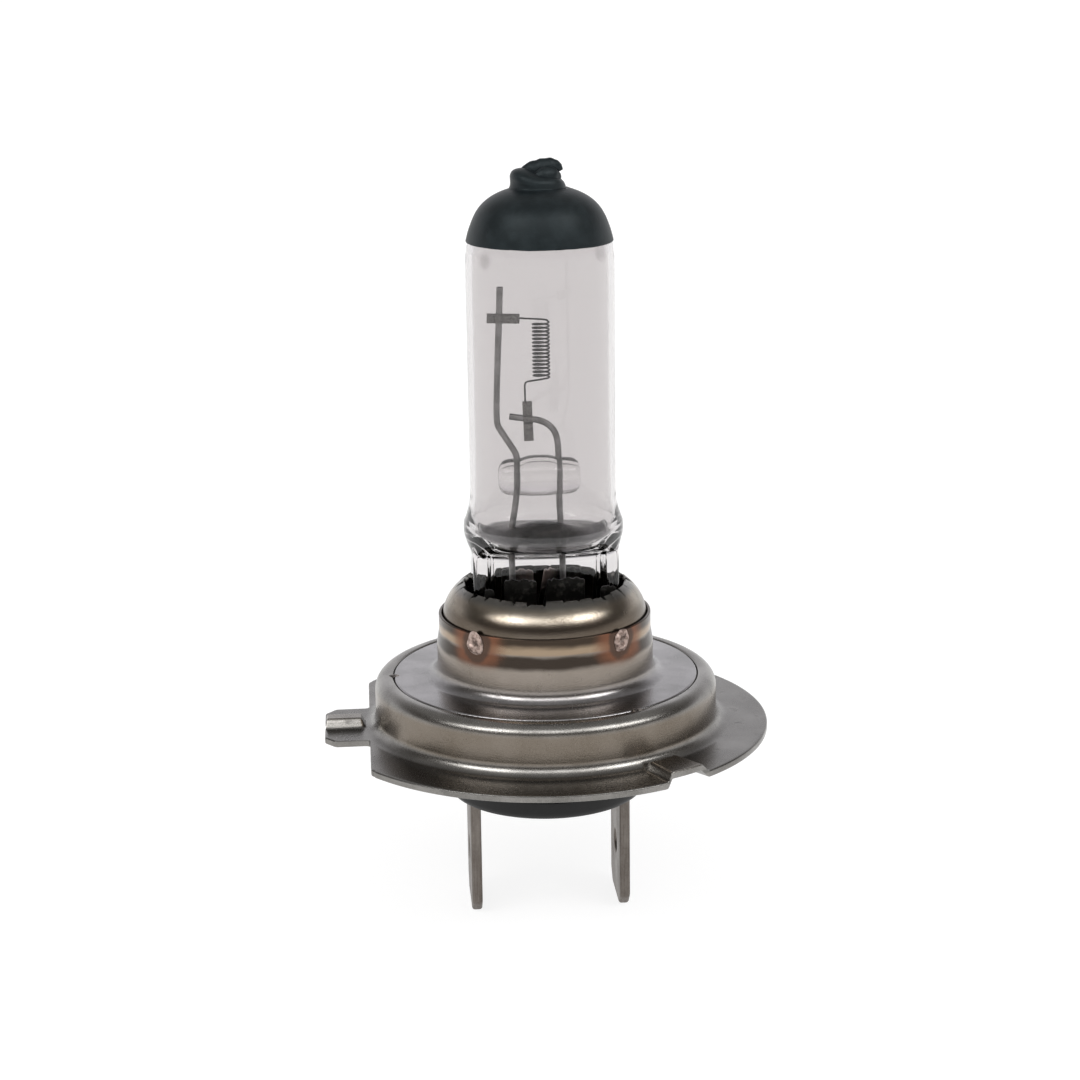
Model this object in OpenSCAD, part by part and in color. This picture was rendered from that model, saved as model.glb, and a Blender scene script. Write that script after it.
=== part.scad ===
// Two-blade halogen headlight bulb with a sheet-metal locating flange.
// Z = 0 is the seating plane through the tops of the three bosses, the origin is on the drum's
// axis, and +Z points to the bulb's tip. Millimetres.

/* [Reference flange] */
// Radius of the drum that centres the bulb in its lamp
drum_r = 13; // [11:0.1:16]
// How far the flange reaches out past the drum
flange_w = 3.9; // [2.5:0.1:5]
// Height of the drum's top above the flange's top face
drum_rise = 3.76; // [3:0.01:5]
// Thickness of the flange's sheet
flange_t = 0.5; // [0.4:0.05:0.7]
// Outer radius of the rounded edge at the drum's top
drum_edge = 1; // [0.6:0.05:1.4]
// Radius of the hollow corner where the drum meets the flange
drum_root = 1; // [0.6:0.05:1.4]
// Width of the flat lip round the drum's mouth, with its rounded edge
lip_w = 1.4; // [1.2:0.05:2]
// Distance from the drum to the straight side of the flange
flat_gap = 0.5; // [0.3:0.05:1.5]
// Width of the lug on the straight side
lug_w = 7.4; // [5:0.1:10]
// Width of the formed rib along the lug
lug_rib_w = 2; // [1.4:0.1:3]
// Chamfer on the lug's corners
lug_chamfer = 0.7; // [0.2:0.1:1.5]
// Height of the seating bosses and the lug's rib above the flange
boss_h = 0.7; // [0.4:0.05:1]
// Width of a boss's flat top
boss_flat = 2.4; // [1.5:0.1:4]
// Width of the ramp on each side of a boss
boss_ramp = 0.7; // [0.4:0.1:1.5]
// Angle of each boss from the ear's middle
boss_angle = 59; // [45:1:65]

/* [Carrier cup] */
// Gap between the carrier plate and the drum's mouth
plate_gap = 0.05; // [0.02:0.01:0.15]
// Height of the cup's rim above the carrier plate
cup_rise = 4.85; // [4:0.05:7]
// Thickness of the cup's wall
cup_wall = 0.4; // [0.3:0.05:0.6]
// Radius of the hollow corner at the cup's foot
cup_root = 1; // [0.4:0.05:1.2]
// Radius of the welds that hold the plate in the drum
stake_r = 0.4; // [0.25:0.05:0.6]
// Height of those welds above the plate
stake_h = 0.12; // [0.05:0.01:0.2]

/* [Bulb collar] */
// Gap between the collar and the cup
collar_gap = 0.05; // [0.02:0.01:0.15]
// Height of the collar's lower edge above the carrier plate
collar_lift = 0.7; // [0.4:0.05:1]
// Thickness of the collar's sheet
collar_t = 0.35; // [0.25:0.05:0.5]
// Width of the domed shoulder round the collar's mouth
shoulder_w = 1.6; // [1.3:0.05:2.2]
// Radius of the dome's profile
dome_r = 3.2; // [2.6:0.1:4]
// How far below the cup's rim the dome starts
dome_sink = 0.5; // [0.2:0.05:1]
// Number of slits round the collar's mouth
slits = 12; // [6:1:16]
// Width of a slit
slit_w = 0.35; // [0.2:0.05:0.6]
// Length of a slit
slit_len = 0.55; // [0.3:0.05:0.8]
// Radius of the welds between cup and collar
weld_r = 0.62; // [0.4:0.01:0.8]
// How far those welds stand out of the cup
weld_h = 0.1; // [0.05:0.01:0.2]
// Height of those welds below the cup's rim
weld_drop = 0.75; // [0.7:0.05:1.5]

/* [Pinch clamp] */
// Thickness of the clamp's spring sheet
clamp_t = 0.3; // [0.2:0.05:0.4]
// Height of the clamp's ring
clamp_ring_h = 2.6; // [1.5:0.1:3.5]
// Gap between the clamp and the collar
clamp_gap = 0.05; // [0.02:0.01:0.15]
// Height of the tongues that grip the pinch
tongue_h = 3.45; // [1:0.05:4]
// Width of a tongue
tongue_w = 2.8; // [1.5:0.1:3.4]
// Gap between the two tongues on each side of the pinch
tongue_split = 0.8; // [0.4:0.1:1.1]

/* [Glass] */
// Outer radius of the tube
tube_r = 5.5; // [5:0.05:6.6]
// Wall of the tube
glass_wall = 0.9; // [0.6:0.05:1.1]
// How far the ring-shaped bulge above the pinch stands out of the tube
bulge_out = 0.5; // [0.2:0.05:0.8]
// Height of the bulge's middle above the pinch's shoulder
bulge_up = 1.7; // [1.4:0.1:2.2]
// Height of the pinch's shoulder above the seating plane
pinch_top = 12.6; // [12:0.1:14]
// Height of the pinch's lower end above the seating plane
pinch_bottom = 4.2; // [3.8:0.1:5]
// Thickness of the pinch's flat middle
pinch_t = 3.6; // [2.8:0.1:4.4]
// Thickness of the pinch's two side ribs
rib_t = 5; // [4.6:0.1:6]
// Width of a side rib
rib_w = 1.1; // [0.8:0.1:1.5]
// Height at which the domed end starts
dome_start = 35.7; // [34:0.1:40]
// Height of the domed end
dome_h = 4.3; // [3.5:0.1:5]
// Radius of the nub left by the exhaust tube
nub_r = 2.05; // [1.5:0.05:2.5]
// Height of the nub above the dome
nub_rise = 0.8; // [0.6:0.05:1.2]
// Radius of the rounded edge on the nub
nub_edge = 0.45; // [0.2:0.05:0.6]
// Radius of the sealed-off tip on the nub
tip_r = 0.85; // [0.5:0.05:1]
// How far off the axis the tip sits
tip_off = 0.75; // [0:0.05:1]
// Height of the tip above the nub
tip_rise = 1; // [0.5:0.05:1.2]

/* [Coating] */
// Thickness of the antiglare coating
coat_t = 0.06; // [0.04:0.01:0.1]
// Height of the coating's lower edge above the start of the domed end
coat_up = 0.1; // [0.05:0.05:1.5]

/* [Filament and its mount] */
// Height of the filament's lower end above the seating plane
light_centre = 25.8; // [24:0.1:27]
// Length of the filament's coil
coil_len = 4.1; // [3.5:0.1:4.8]
// Middle radius of the coil
coil_r = 0.6; // [0.45:0.01:0.75]
// Number of turns in the coil
turns = 15; // [10:1:16]
// Radius of the coiled wire
filament_r = 0.065; // [0.05:0.005:0.08]
// Radius of the support wires
lead_r = 0.24; // [0.2:0.01:0.3]
// Gap between the long support wire and the tube's wall
lead_gap = 0.95; // [0.7:0.05:1.2]
// Length of the long wire's stub above its filament clamp
lead_stub = 2.5; // [1:0.1:3]
// Thickness of a filament clamp's strip
strip_t = 0.12; // [0.08:0.01:0.15]
// Width of a filament clamp
strip_w = 0.6; // [0.5:0.02:0.9]
// Length of the upper filament clamp
upper_strip = 2.4; // [2:0.1:3]
// Length of the lower filament clamp
lower_strip = 2.9; // [2:0.1:3.5]
// Height of the short wire's bend above the pinch's shoulder
bend_up = 9.8; // [9.4:0.1:10.2]
// Smallest height of the filament above that bend
bend_room = 2.2; // [1.8:0.1:2.6]
// Radius of the glass bead that bridges the wires
bead_r = 1.55; // [1.2:0.05:1.8]
// Length of the bead
bead_len = 6.2; // [5.2:0.1:6.6]
// Height of the bead's axis above the pinch's shoulder
bead_up = 5.75; // [5.3:0.05:6.5]

/* [Insulator] */
// Outer radius of the insulator's body
base_r = 7.6; // [7.3:0.1:8.2]
// How far the insulator reaches below the seating plane
base_drop = 6.26; // [5:0.01:8]
// Radius of the rounded edge at the insulator's foot
base_edge = 0.5; // [0.2:0.05:0.9]
// Width of the insulator's shoulder under the carrier plate
shoulder_out = 2.9; // [2:0.1:3.2]
// Thickness of that shoulder
shoulder_t = 1.2; // [0.8:0.1:1.6]
// Gap between the insulator's neck and the cup
neck_gap = 0.1; // [0.05:0.01:0.3]
// Radius of the hollow that holds the welded wires
hollow_r = 6.4; // [6.1:0.1:6.6]
// Thickness of the insulator's floor
floor_t = 4.6; // [3:0.1:5]
// Number of gussets between body and shoulder
gussets = 6; // [3:1:10]
// Thickness of a gusset
gusset_t = 0.9; // [0.6:0.1:1.4]

/* [Contact blades] */
// Distance between the blades' middle planes
blade_pitch = 11.4; // [10.6:0.1:11.6]
// Width of a blade
blade_w = 6.3; // [4.8:0.1:6.3]
// Thickness of a blade
blade_t = 0.8; // [0.6:0.1:0.9]
// How far a blade reaches below the seating plane
blade_drop = 15.5; // [13:0.1:18]
// Radius of the hole that a terminal's detent snaps into
detent_r = 0.9; // [0.7:0.05:1.1]
// Height of that hole above the blade's end
detent_up = 4.4; // [3.5:0.1:5]
// Chamfer on the corners of a blade's end
blade_chamfer = 1; // [0.5:0.1:1.5]
// Gap between a part and the slot that it sits in
slot_gap = 0.05; // [0.02:0.01:0.15]

/* [Hidden] */
$fn = 96;
eps = 0.01;
wire_sides = 12;
filament_sides = 6;
steps_per_turn = 14;

// heights, from the flange up
flange_top = -boss_h;
drum_top = flange_top + drum_rise;
plate_top = drum_top;
plate_low = plate_top - 2 * flange_t;
cup_rim = plate_top + cup_rise;
dome_base = cup_rim - dome_sink;
collar_foot = plate_top + collar_lift;
coil_top = light_centre + coil_len;
// the bead and the bend keep their own heights, and give way to a filament that comes down to them
bead_z = min(pinch_top + bead_up, light_centre - lower_strip - bead_r - 0.55);
bead_top = bead_z + bead_r;
base_top = collar_foot - 0.3;
blade_top = base_top - 1.2;
floor_top = floor_t - base_drop;
dome_top = dome_start + dome_h;
nub_top = dome_top + nub_rise;
tip_top = nub_top + tip_rise;

// radii, from the pinch out
pinch_w = 2 * tube_r - 0.1;
pinch_corner = norm([pinch_w / 2, rib_t / 2]);
mouth_r = pinch_corner + 0.15;
collar_r = mouth_r + shoulder_w;
cup_r = collar_r + collar_gap + cup_wall;
neck_r = collar_r + collar_gap - neck_gap;
clamp_r = collar_r - collar_t - clamp_gap;
seat_r = drum_r - lip_w;
plate_r = seat_r - plate_gap;
step_r = drum_r - drum_edge - plate_gap;
flange_r = drum_r + flange_w;
flat_x = drum_r + flat_gap;
bore_r = tube_r - glass_wall;
shoulder_r = base_r + shoulder_out;

// the two support wires, as they cross the tube in the XZ plane
long_x = lead_gap + lead_r - bore_r;
bead_x = [-1.9, 1.4];
pinch_x = [-2.3, 1.6];
blade_face = blade_pitch / 2 - blade_t / 2 - lead_r;
upper_z = coil_top + 0.15;
upper_x = long_x + 0.3;
strip_end = upper_x + 1.5;
short_z = min(pinch_top + bend_up, light_centre - bend_room);
bend = short_z - bead_top;
lower_x = -1;
lower_end = max(short_z + lower_strip / 2, bead_top + lower_strip + 0.2) - 0.1;
LONG = [
    [long_x + 0.45, upper_z + lead_stub], [upper_x, upper_z], [long_x + 0.1, upper_z - 3],
    [long_x, short_z + 0.4 * bend], [long_x, short_z - 0.24 * bend],
    [long_x + 0.5, short_z - 0.6 * bend],
    [bead_x[0] - 0.1, bead_top + 0.12 * bend], [bead_x[0], bead_top - 0.3],
    [bead_x[0], bead_z - bead_r], [pinch_x[0], pinch_top + 1.4], [pinch_x[0], pinch_top],
    [pinch_x[0], pinch_bottom - 0.2], [pinch_x[0] - 0.2, pinch_bottom - 0.9],
    [0.2 - blade_face, 2.4], [-blade_face, 1.8], [-blade_face, floor_top + 0.3]
];
SHORT = [
    [lower_x - 1.25, short_z + 0.2], [lower_x, short_z], [lower_x + 0.8, short_z - 0.1],
    [bead_x[1] - 0.6, short_z - 0.24 * bend], [bead_x[1] - 0.1, short_z - 0.6 * bend],
    [bead_x[1], bead_top - 0.3], [bead_x[1], bead_z - bead_r],
    [pinch_x[1], pinch_top + 1.4], [pinch_x[1], pinch_top], [pinch_x[1], pinch_bottom - 0.2],
    [pinch_x[1] + 0.2, pinch_bottom - 0.9], [blade_face - 0.2, 2.4], [blade_face, 1.8],
    [blade_face, floor_top + 0.3]
];

// ---- helpers ----

function unit(v) = v / norm(v);

// Cuts each corner of a path twice, so a bend becomes a short smooth curve.
function cut_corners(p, times) = times == 0 ? p : cut_corners(concat([p[0]],
    [for (i = [0 : len(p) - 2]) each [p[i] * 0.75 + p[i + 1] * 0.25, p[i] * 0.25 + p[i + 1] * 0.75]],
    [p[len(p) - 1]]), times - 1);

function tangents(p) = [for (i = [0 : len(p) - 1]) unit(p[min(i + 1, len(p) - 1)] - p[max(i - 1, 0)])];

// Turns the first normal along the path with the least twist.
function normals(t, first) = [for (i = 0, n = unit(first - (first * t[0]) * t[0]); i < len(t);
    i = i + 1, n = i < len(t) ? unit(n - (n * t[i]) * t[i]) : n) n];

// A wire of radius r along a path of 3D points, with flat ends.
module wire(path, r, sides, first) {
    t = tangents(path);
    n = normals(t, first);
    rings = len(path);
    pts = [for (i = [0 : rings - 1], k = [0 : sides - 1])
        path[i] + r * (cos(360 * k / sides) * n[i] + sin(360 * k / sides) * cross(t[i], n[i]))];
    walls = [for (i = [0 : rings - 2], k = [0 : sides - 1]) let (j = (k + 1) % sides)
        [i * sides + k, (i + 1) * sides + k, (i + 1) * sides + j, i * sides + j]];
    start = [for (k = [0 : sides - 1]) k];
    finish = [for (k = [sides - 1 : -1 : 0]) (rings - 1) * sides + k];
    polyhedron(points = pts, faces = concat(walls, [start, finish]));
}

// Points of an arc in a profile, from angle a to angle b.
function arc(c, r, a, b, n = 12) =
    [for (i = [0 : n]) let (t = a + (b - a) * i / n) c + r * [cos(t), sin(t)]];

module ring(r_out, r_in, z, h) {
    translate([0, 0, z]) difference() {
        cylinder(r = r_out, h = h);
        translate([0, 0, -eps]) cylinder(r = r_in, h = h + 2 * eps);
    }
}

// ---- locating flange ----

// Half section of the drum and flange: outer face going down, inner face going up.
module flange_section() {
    t = flange_t;
    polygon(concat(
        [[seat_r, drum_top]],
        arc([drum_r - drum_edge, drum_top - drum_edge], drum_edge, 90, 0),
        arc([drum_r + drum_root, flange_top + drum_root], drum_root, 180, 270),
        [[flange_r, flange_top], [flange_r, flange_top - t]],
        arc([drum_r + drum_root, flange_top + drum_root], drum_root + t, 270, 180),
        arc([drum_r - drum_edge, drum_top - drum_edge], drum_edge - t, 0, 90),
        [[seat_r, drum_top - t]]));
}

// A strip of sheet raised to the seating plane, running outwards along +X.
module raised_strip(flat, ramp, length) {
    half = flat / 2;
    rotate([90, 0, 90]) linear_extrude(length) polygon([
        [-half - ramp, flange_top], [-half, 0], [half, 0], [half + ramp, flange_top],
        [half + ramp, flange_top - flange_t], [half, -flange_t], [-half, -flange_t],
        [-half - ramp, flange_top - flange_t]]);
}

// The gap in the flat sheet that a raised strip fills.
module strip_gap(flat, ramp, length) {
    translate([0, -flat / 2 - ramp, flange_top - flange_t - eps])
        cube([length, flat + 2 * ramp, drum_root + flange_t + 2 * eps]);
}

module lug_plate() {
    tip = flange_r - lug_chamfer;
    translate([0, 0, flange_top - flange_t]) linear_extrude(flange_t) polygon([
        [-flat_x + eps, -lug_w / 2], [-tip, -lug_w / 2], [-flange_r, lug_chamfer - lug_w / 2],
        [-flange_r, lug_w / 2 - lug_chamfer], [-tip, lug_w / 2], [-flat_x + eps, lug_w / 2]]);
}

module reference_flange() {
    strip_start = drum_r + drum_root / 5;
    rib_ramp = lug_rib_w / 4;
    color([0.62, 0.6, 0.57]) {
        difference() {
            rotate_extrude() flange_section();
            translate([-2 * flange_r, -flange_r, flange_top - flange_t - eps])
                cube([2 * flange_r - flat_x, 2 * flange_r, drum_rise]);
            for (side = [-1, 1]) rotate([0, 0, side * boss_angle])
                translate([strip_start, 0, 0]) strip_gap(boss_flat, boss_ramp, flange_w);
        }
        for (side = [-1, 1]) intersection() {
            rotate([0, 0, side * boss_angle]) translate([drum_r - flange_t, 0, 0])
                raised_strip(boss_flat, boss_ramp, flange_w + 2 * flange_t);
            ring(flange_r, drum_r, flange_top - flange_t - eps, boss_h + flange_t + 2 * eps);
        }
        difference() {
            lug_plate();
            translate([-flange_r - eps, 0, 0])
                strip_gap(lug_rib_w - 2 * rib_ramp, rib_ramp, flange_r - flat_x - flange_t);
        }
        translate([-flange_r, 0, 0])
            raised_strip(lug_rib_w - 2 * rib_ramp, rib_ramp, flange_r - flat_x - flange_t);
    }
}

// ---- carrier cup and its welds ----

module carrier_cup() {
    inner = cup_r - cup_wall;
    color([0.66, 0.63, 0.6]) difference() {
        rotate_extrude() polygon(concat(
            [[inner, cup_rim], [cup_r, cup_rim]],
            arc([cup_r + cup_root, plate_top + cup_root], cup_root, 180, 270),
            [[plate_r, plate_top], [plate_r, plate_top - flange_t],
             [step_r, plate_top - flange_t], [step_r, plate_low],
             [inner, plate_low]]));
        for (a = [45 : 90 : 315]) rotate([0, 0, a]) translate([0, 0, cup_rim - weld_drop])
            rotate([0, 90, 0]) cylinder(r = weld_r, h = cup_r + 1);
    }
}

// Three welds across the seam between the carrier plate and the drum.
module carrier_welds() {
    color([0.4, 0.36, 0.33]) for (a = [60, 180, 300]) rotate([0, 0, a])
        translate([seat_r, 0, drum_top]) cylinder(r = stake_r, h = stake_h);
}

// ---- bulb collar and its welds ----

dome_cx = collar_r - dome_r;
mouth_angle = acos((mouth_r - dome_cx) / dome_r);
collar_top = dome_base + dome_r * sin(mouth_angle);

module bulb_collar() {
    c = [dome_cx, dome_base];
    color([0.64, 0.6, 0.55]) difference() {
        rotate_extrude() polygon(concat(
            [[collar_r, collar_foot]], arc(c, dome_r, 0, mouth_angle),
            arc(c, dome_r - collar_t, mouth_angle, 0), [[collar_r - collar_t, collar_foot]]));
        for (i = [1 : slits]) rotate([0, 0, (i - 0.5) * 360 / slits])
            translate([0, -slit_w / 2, dome_base + collar_t])
                cube([mouth_r + slit_len, slit_w, dome_r]);
    }
}

// Four spot welds that fill holes in the cup and end on the collar.
module collar_welds() {
    color([0.5, 0.4, 0.33]) intersection() {
        for (a = [45 : 90 : 315]) rotate([0, 0, a]) translate([0, 0, cup_rim - weld_drop])
            rotate([0, 90, 0]) cylinder(r = weld_r, h = cup_r + 1);
        ring(cup_r + weld_h, collar_r, plate_top, cup_rise);
    }
}

// ---- pinch clamp ----

module pinch_clamp() {
    top = dome_base;
    color([0.2, 0.2, 0.2]) {
        ring(clamp_r, clamp_r - clamp_t, top - clamp_ring_h, clamp_ring_h);
        difference() {
            translate([0, 0, top - clamp_t]) cylinder(r = clamp_r - clamp_t + eps, h = clamp_t);
            pinch_block(slot_gap, top - 1, top + 1);
        }
        for (side = [-1, 1], half = [-1, 1])
            translate([half * (tongue_split + tongue_w) / 2, side * (pinch_t / 2 + slot_gap + clamp_t / 2),
                top + (tongue_h - eps) / 2])
                cube([tongue_w, clamp_t, tongue_h + eps], center = true);
    }
}

// ---- glass ----

// The pinch: a flat block with a thicker rib on each side, grown by a clearance.
module pinch_block(grow, z0, z1) {
    w = pinch_w / 2 + grow;
    translate([0, 0, z0]) linear_extrude(z1 - z0) difference() {
        square([2 * w, rib_t + 2 * grow], center = true);
        for (side = [-1, 1]) translate([0, side * (pinch_t / 2 + grow + rib_t)])
            square([pinch_w - 2 * rib_w - 2 * grow, 2 * rib_t], center = true);
    }
}

// The closed end: half an ellipse, the nub and the sealed tip, all grown by a clearance.
module domed_end(grow) {
    n = 16;
    rotate_extrude() polygon(concat([[0, dome_start]],
        [for (i = [0 : n]) let (a = 90 * i / n)
            [(tube_r + grow) * cos(a), dome_start + (dome_h + grow) * sin(a)]]));
    rotate_extrude() polygon(concat([[0, dome_start], [nub_r + grow, dome_start]],
        arc([nub_r - nub_edge, nub_top - nub_edge], nub_edge + grow, 0, 90), [[0, nub_top + grow]]));
    translate([tip_off, 0, 0]) {
        translate([0, 0, dome_top]) cylinder(r = tip_r + grow, h = tip_top - tip_r - dome_top);
        translate([0, 0, tip_top - tip_r]) sphere(r = tip_r + grow);
    }
}

module glass_envelope() {
    bulge_z = pinch_top + bulge_up;
    n = 12;
    color([0.85, 0.83, 0.82, 0.35]) difference() {
        union() {
            rotate_extrude() polygon(concat(
                [[0, dome_start + eps], [tube_r, dome_start + eps]],
                [for (i = [0 : n]) let (a = 180 * i / n)
                    [tube_r + bulge_out * sin(a), bulge_z + bulge_up * cos(a)]],
                [[0, pinch_top]]));
            domed_end(0);
            pinch_block(0, pinch_bottom, pinch_top + eps);
        }
        // the inside: straight bore with a domed top and a bowl-shaped bottom
        rotate_extrude() polygon(concat(
            [for (i = [0 : n]) let (a = 90 * i / n)
                [bore_r * cos(a), dome_start + (dome_h - glass_wall) * sin(a)]],
            [for (i = [n : -1 : 0]) let (a = 90 * i / n)
                [bore_r * cos(a), bulge_z - bulge_up / 2 * sin(a)]]));
        for (x = pinch_x) translate([x, 0, pinch_bottom - 1]) cylinder(r = lead_r, h = pinch_top);
    }
}

module antiglare_coating() {
    color([0.09, 0.1, 0.11]) difference() {
        domed_end(coat_t);
        domed_end(0);
        translate([0, 0, dome_start - eps]) cylinder(r = tube_r + 1, h = coat_up + eps);
    }
}

// ---- filament and its mount ----

module filament() {
    pitch = coil_len / turns;
    drop = 2.5 * filament_r;
    coil = [for (i = [0 : turns * steps_per_turn]) let (a = 360 * i / steps_per_turn)
        [coil_r * cos(a), coil_r * sin(a), light_centre + pitch * i / steps_per_turn]];
    foot = cut_corners([[lower_x, 0, lower_end - 0.6], [lower_x, 0, light_centre - 0.5],
        [lower_x + 0.1, 0, light_centre - drop], [coil_r / 2, 0, light_centre - drop]], 2);
    head = [[coil_r / 2, 0, coil_top + drop / 2], [strip_end - 0.6, 0, upper_z]];
    color([0.3, 0.3, 0.32]) wire(concat(foot, coil, head), filament_r, filament_sides, [1, 0, 0.2]);
}

// Section of a strip folded round a support wire, with a channel for the filament's leg:
// it runs from a to b past the wire at the origin, and the leg leaves at b.
module strip_section(a, b) {
    half = filament_r + strip_t;
    difference() {
        union() {
            translate([a, -half]) square([b - a, 2 * half]);
            circle(r = lead_r + strip_t);
        }
        circle(r = lead_r);
        translate([0, -filament_r]) square([b + eps, 2 * filament_r]);
    }
}

module upper_filament_clamp() {
    a = strip_end - upper_strip - upper_x;
    color([0.45, 0.44, 0.43]) translate([upper_x, 0, upper_z - strip_w / 2])
        linear_extrude(strip_w) strip_section(a, strip_end - upper_x);
}

module lower_filament_clamp() {
    b = lower_end - short_z;
    color([0.45, 0.44, 0.43]) translate([lower_x - strip_w / 2, 0, short_z])
        rotate([90, 0, 90]) linear_extrude(strip_w) rotate([0, 0, 90]) strip_section(b - lower_strip, b);
}

module long_support_wire() {
    color([0.42, 0.42, 0.43])
        wire([for (p = cut_corners(LONG, 2)) [p[0], 0, p[1]]], lead_r, wire_sides, [0, 1, 0]);
}

module short_support_wire() {
    color([0.42, 0.42, 0.43])
        wire([for (p = cut_corners(SHORT, 2)) [p[0], 0, p[1]]], lead_r, wire_sides, [0, 1, 0]);
}

module bridge_bead() {
    edge = bead_r / 4;
    color([0.85, 0.84, 0.83, 0.4]) difference() {
        translate([0, 0, bead_z]) rotate([0, 90, 0]) rotate_extrude() polygon(concat(
            [[0, -bead_len / 2]], arc([bead_r - edge, edge - bead_len / 2], edge, -90, 0, 4),
            arc([bead_r - edge, bead_len / 2 - edge], edge, 0, 90, 4), [[0, bead_len / 2]]));
        for (x = bead_x) translate([x, 0, bead_z - 2 * bead_r]) cylinder(r = lead_r, h = 4 * bead_r);
    }
}

// ---- insulator and contact blades ----

module at_blades() {
    for (side = [-1, 1]) translate([side * blade_pitch / 2, 0, 0]) children();
}

module insulator_base() {
    foot = -base_drop;
    shoulder_low = plate_low - shoulder_t;
    gusset_h = (shoulder_low - flange_top) * 1.6;
    color([0.05, 0.05, 0.055]) difference() {
        union() {
            rotate_extrude() polygon(concat(
                [[0, foot]], arc([base_r - base_edge, foot + base_edge], base_edge, -90, 0, 6),
                [[base_r, shoulder_low], [shoulder_r, shoulder_low], [shoulder_r, plate_low],
                 [neck_r, plate_low], [neck_r, base_top], [0, base_top]]));
            for (i = [1 : gussets]) rotate([0, 0, (i - 0.5) * 360 / gussets])
                translate([0, gusset_t / 2, 0]) rotate([90, 0, 0]) linear_extrude(gusset_t) polygon([
                    [base_r - base_edge, shoulder_low + eps], [shoulder_r - 0.5, shoulder_low + eps],
                    [base_r - base_edge, shoulder_low - gusset_h]]);
        }
        translate([0, 0, floor_top]) cylinder(r = hollow_r, h = base_top - floor_top + eps);
        at_blades() translate([-blade_t / 2, -blade_w / 2 - slot_gap, foot - 1])
            cube([blade_t, blade_w + 2 * slot_gap, base_drop + base_top + 2]);
        at_blades() translate([-blade_t, -blade_w / 2 - blade_t / 2, foot - 1])
            cube([2 * blade_t, blade_w + blade_t, 1 + blade_t / 2]);
    }
}

// A contact blade in the YZ plane, with a chamfered end and the detent's hole.
module blade() {
    half = blade_w / 2;
    low = -blade_drop;
    difference() {
        translate([-blade_t / 2, 0, 0]) rotate([90, 0, 90]) linear_extrude(blade_t) polygon([
            [-half, blade_top], [half, blade_top], [half, low + blade_chamfer],
            [half - blade_chamfer, low], [blade_chamfer - half, low], [-half, low + blade_chamfer]]);
        translate([-blade_t, 0, low + detent_up]) rotate([0, 90, 0])
            cylinder(r = detent_r, h = 2 * blade_t);
    }
}

module left_blade() {
    color([0.42, 0.39, 0.36]) translate([-blade_pitch / 2, 0, 0]) blade();
}

module right_blade() {
    color([0.42, 0.39, 0.36]) translate([blade_pitch / 2, 0, 0]) blade();
}

reference_flange();
carrier_cup();
carrier_welds();
bulb_collar();
collar_welds();
pinch_clamp();
glass_envelope();
antiglare_coating();
filament();
upper_filament_clamp();
lower_filament_clamp();
long_support_wire();
short_support_wire();
bridge_bead();
insulator_base();
left_blade();
right_blade();
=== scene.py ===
import math

import bmesh
import bpy
import numpy as np
from mathutils import Matrix


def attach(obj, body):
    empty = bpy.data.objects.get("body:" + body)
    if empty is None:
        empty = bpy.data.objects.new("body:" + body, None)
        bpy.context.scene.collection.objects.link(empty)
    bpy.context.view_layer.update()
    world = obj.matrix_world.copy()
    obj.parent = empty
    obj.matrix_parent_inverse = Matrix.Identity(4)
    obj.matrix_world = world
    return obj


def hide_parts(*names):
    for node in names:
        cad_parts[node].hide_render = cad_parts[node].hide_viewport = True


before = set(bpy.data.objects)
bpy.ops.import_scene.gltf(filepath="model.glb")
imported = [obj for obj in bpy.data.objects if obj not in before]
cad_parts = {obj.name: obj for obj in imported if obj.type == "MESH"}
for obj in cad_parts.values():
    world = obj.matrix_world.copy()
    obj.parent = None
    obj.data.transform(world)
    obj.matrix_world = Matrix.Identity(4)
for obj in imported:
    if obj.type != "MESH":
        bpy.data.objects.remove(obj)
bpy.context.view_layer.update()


# ---- insulator ----
# A moulded black plastic plug that closes the cup from below and holds the contact blades.
# A wide shoulder with six gussets bears on the carrier, and the closed end hangs below the flange.

MM = 0.001
BLACK = (0.006, 0.006, 0.006, 1)
BASE_R = 7.6
BASE_FOOT = -6.26
SHOULDER_R = 10.5
SHOULDER_LOW = 0.86
SHOULDER_TOP = 2.06
NECK_R = 7.7
NECK_TOP = 3.46
HOLLOW_R = 6.4
HOLLOW_FLOOR = -1.66
GUSSETS = 6
GUSSET_T = 0.9


def soft_corners(points, radii, steps=6):
    """A closed outline whose corners are arcs. On each corner the arc touches both edges at
    radius / tan(half angle) from the corner, and its points swing evenly between the two radii."""
    p = np.asarray(points, float)
    r = np.broadcast_to(np.asarray(radii, float), len(p))[:, None]
    a = np.roll(p, 1, 0) - p
    b = np.roll(p, -1, 0) - p
    a = a / np.linalg.norm(a, axis=1, keepdims=True)
    b = b / np.linalg.norm(b, axis=1, keepdims=True)
    half = np.arccos(np.clip((a * b).sum(1, keepdims=True), -1, 1)) / 2
    bisector = a + b
    length = np.linalg.norm(bisector, axis=1, keepdims=True)
    centre = p + bisector / np.maximum(length, 1e-9) * r / np.sin(half)
    first = p + a * r / np.tan(half) - centre
    last = p + b * r / np.tan(half) - centre
    swing = np.maximum(math.pi - 2 * half, 1e-6)[:, None, :]
    w = np.linspace(0, 1, steps + 1)[None, :, None]
    arcs = first[:, None] * np.sin((1 - w) * swing) + last[:, None] * np.sin(w * swing)
    return (centre[:, None] + arcs / np.sin(swing)).reshape(-1, p.shape[1])


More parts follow.
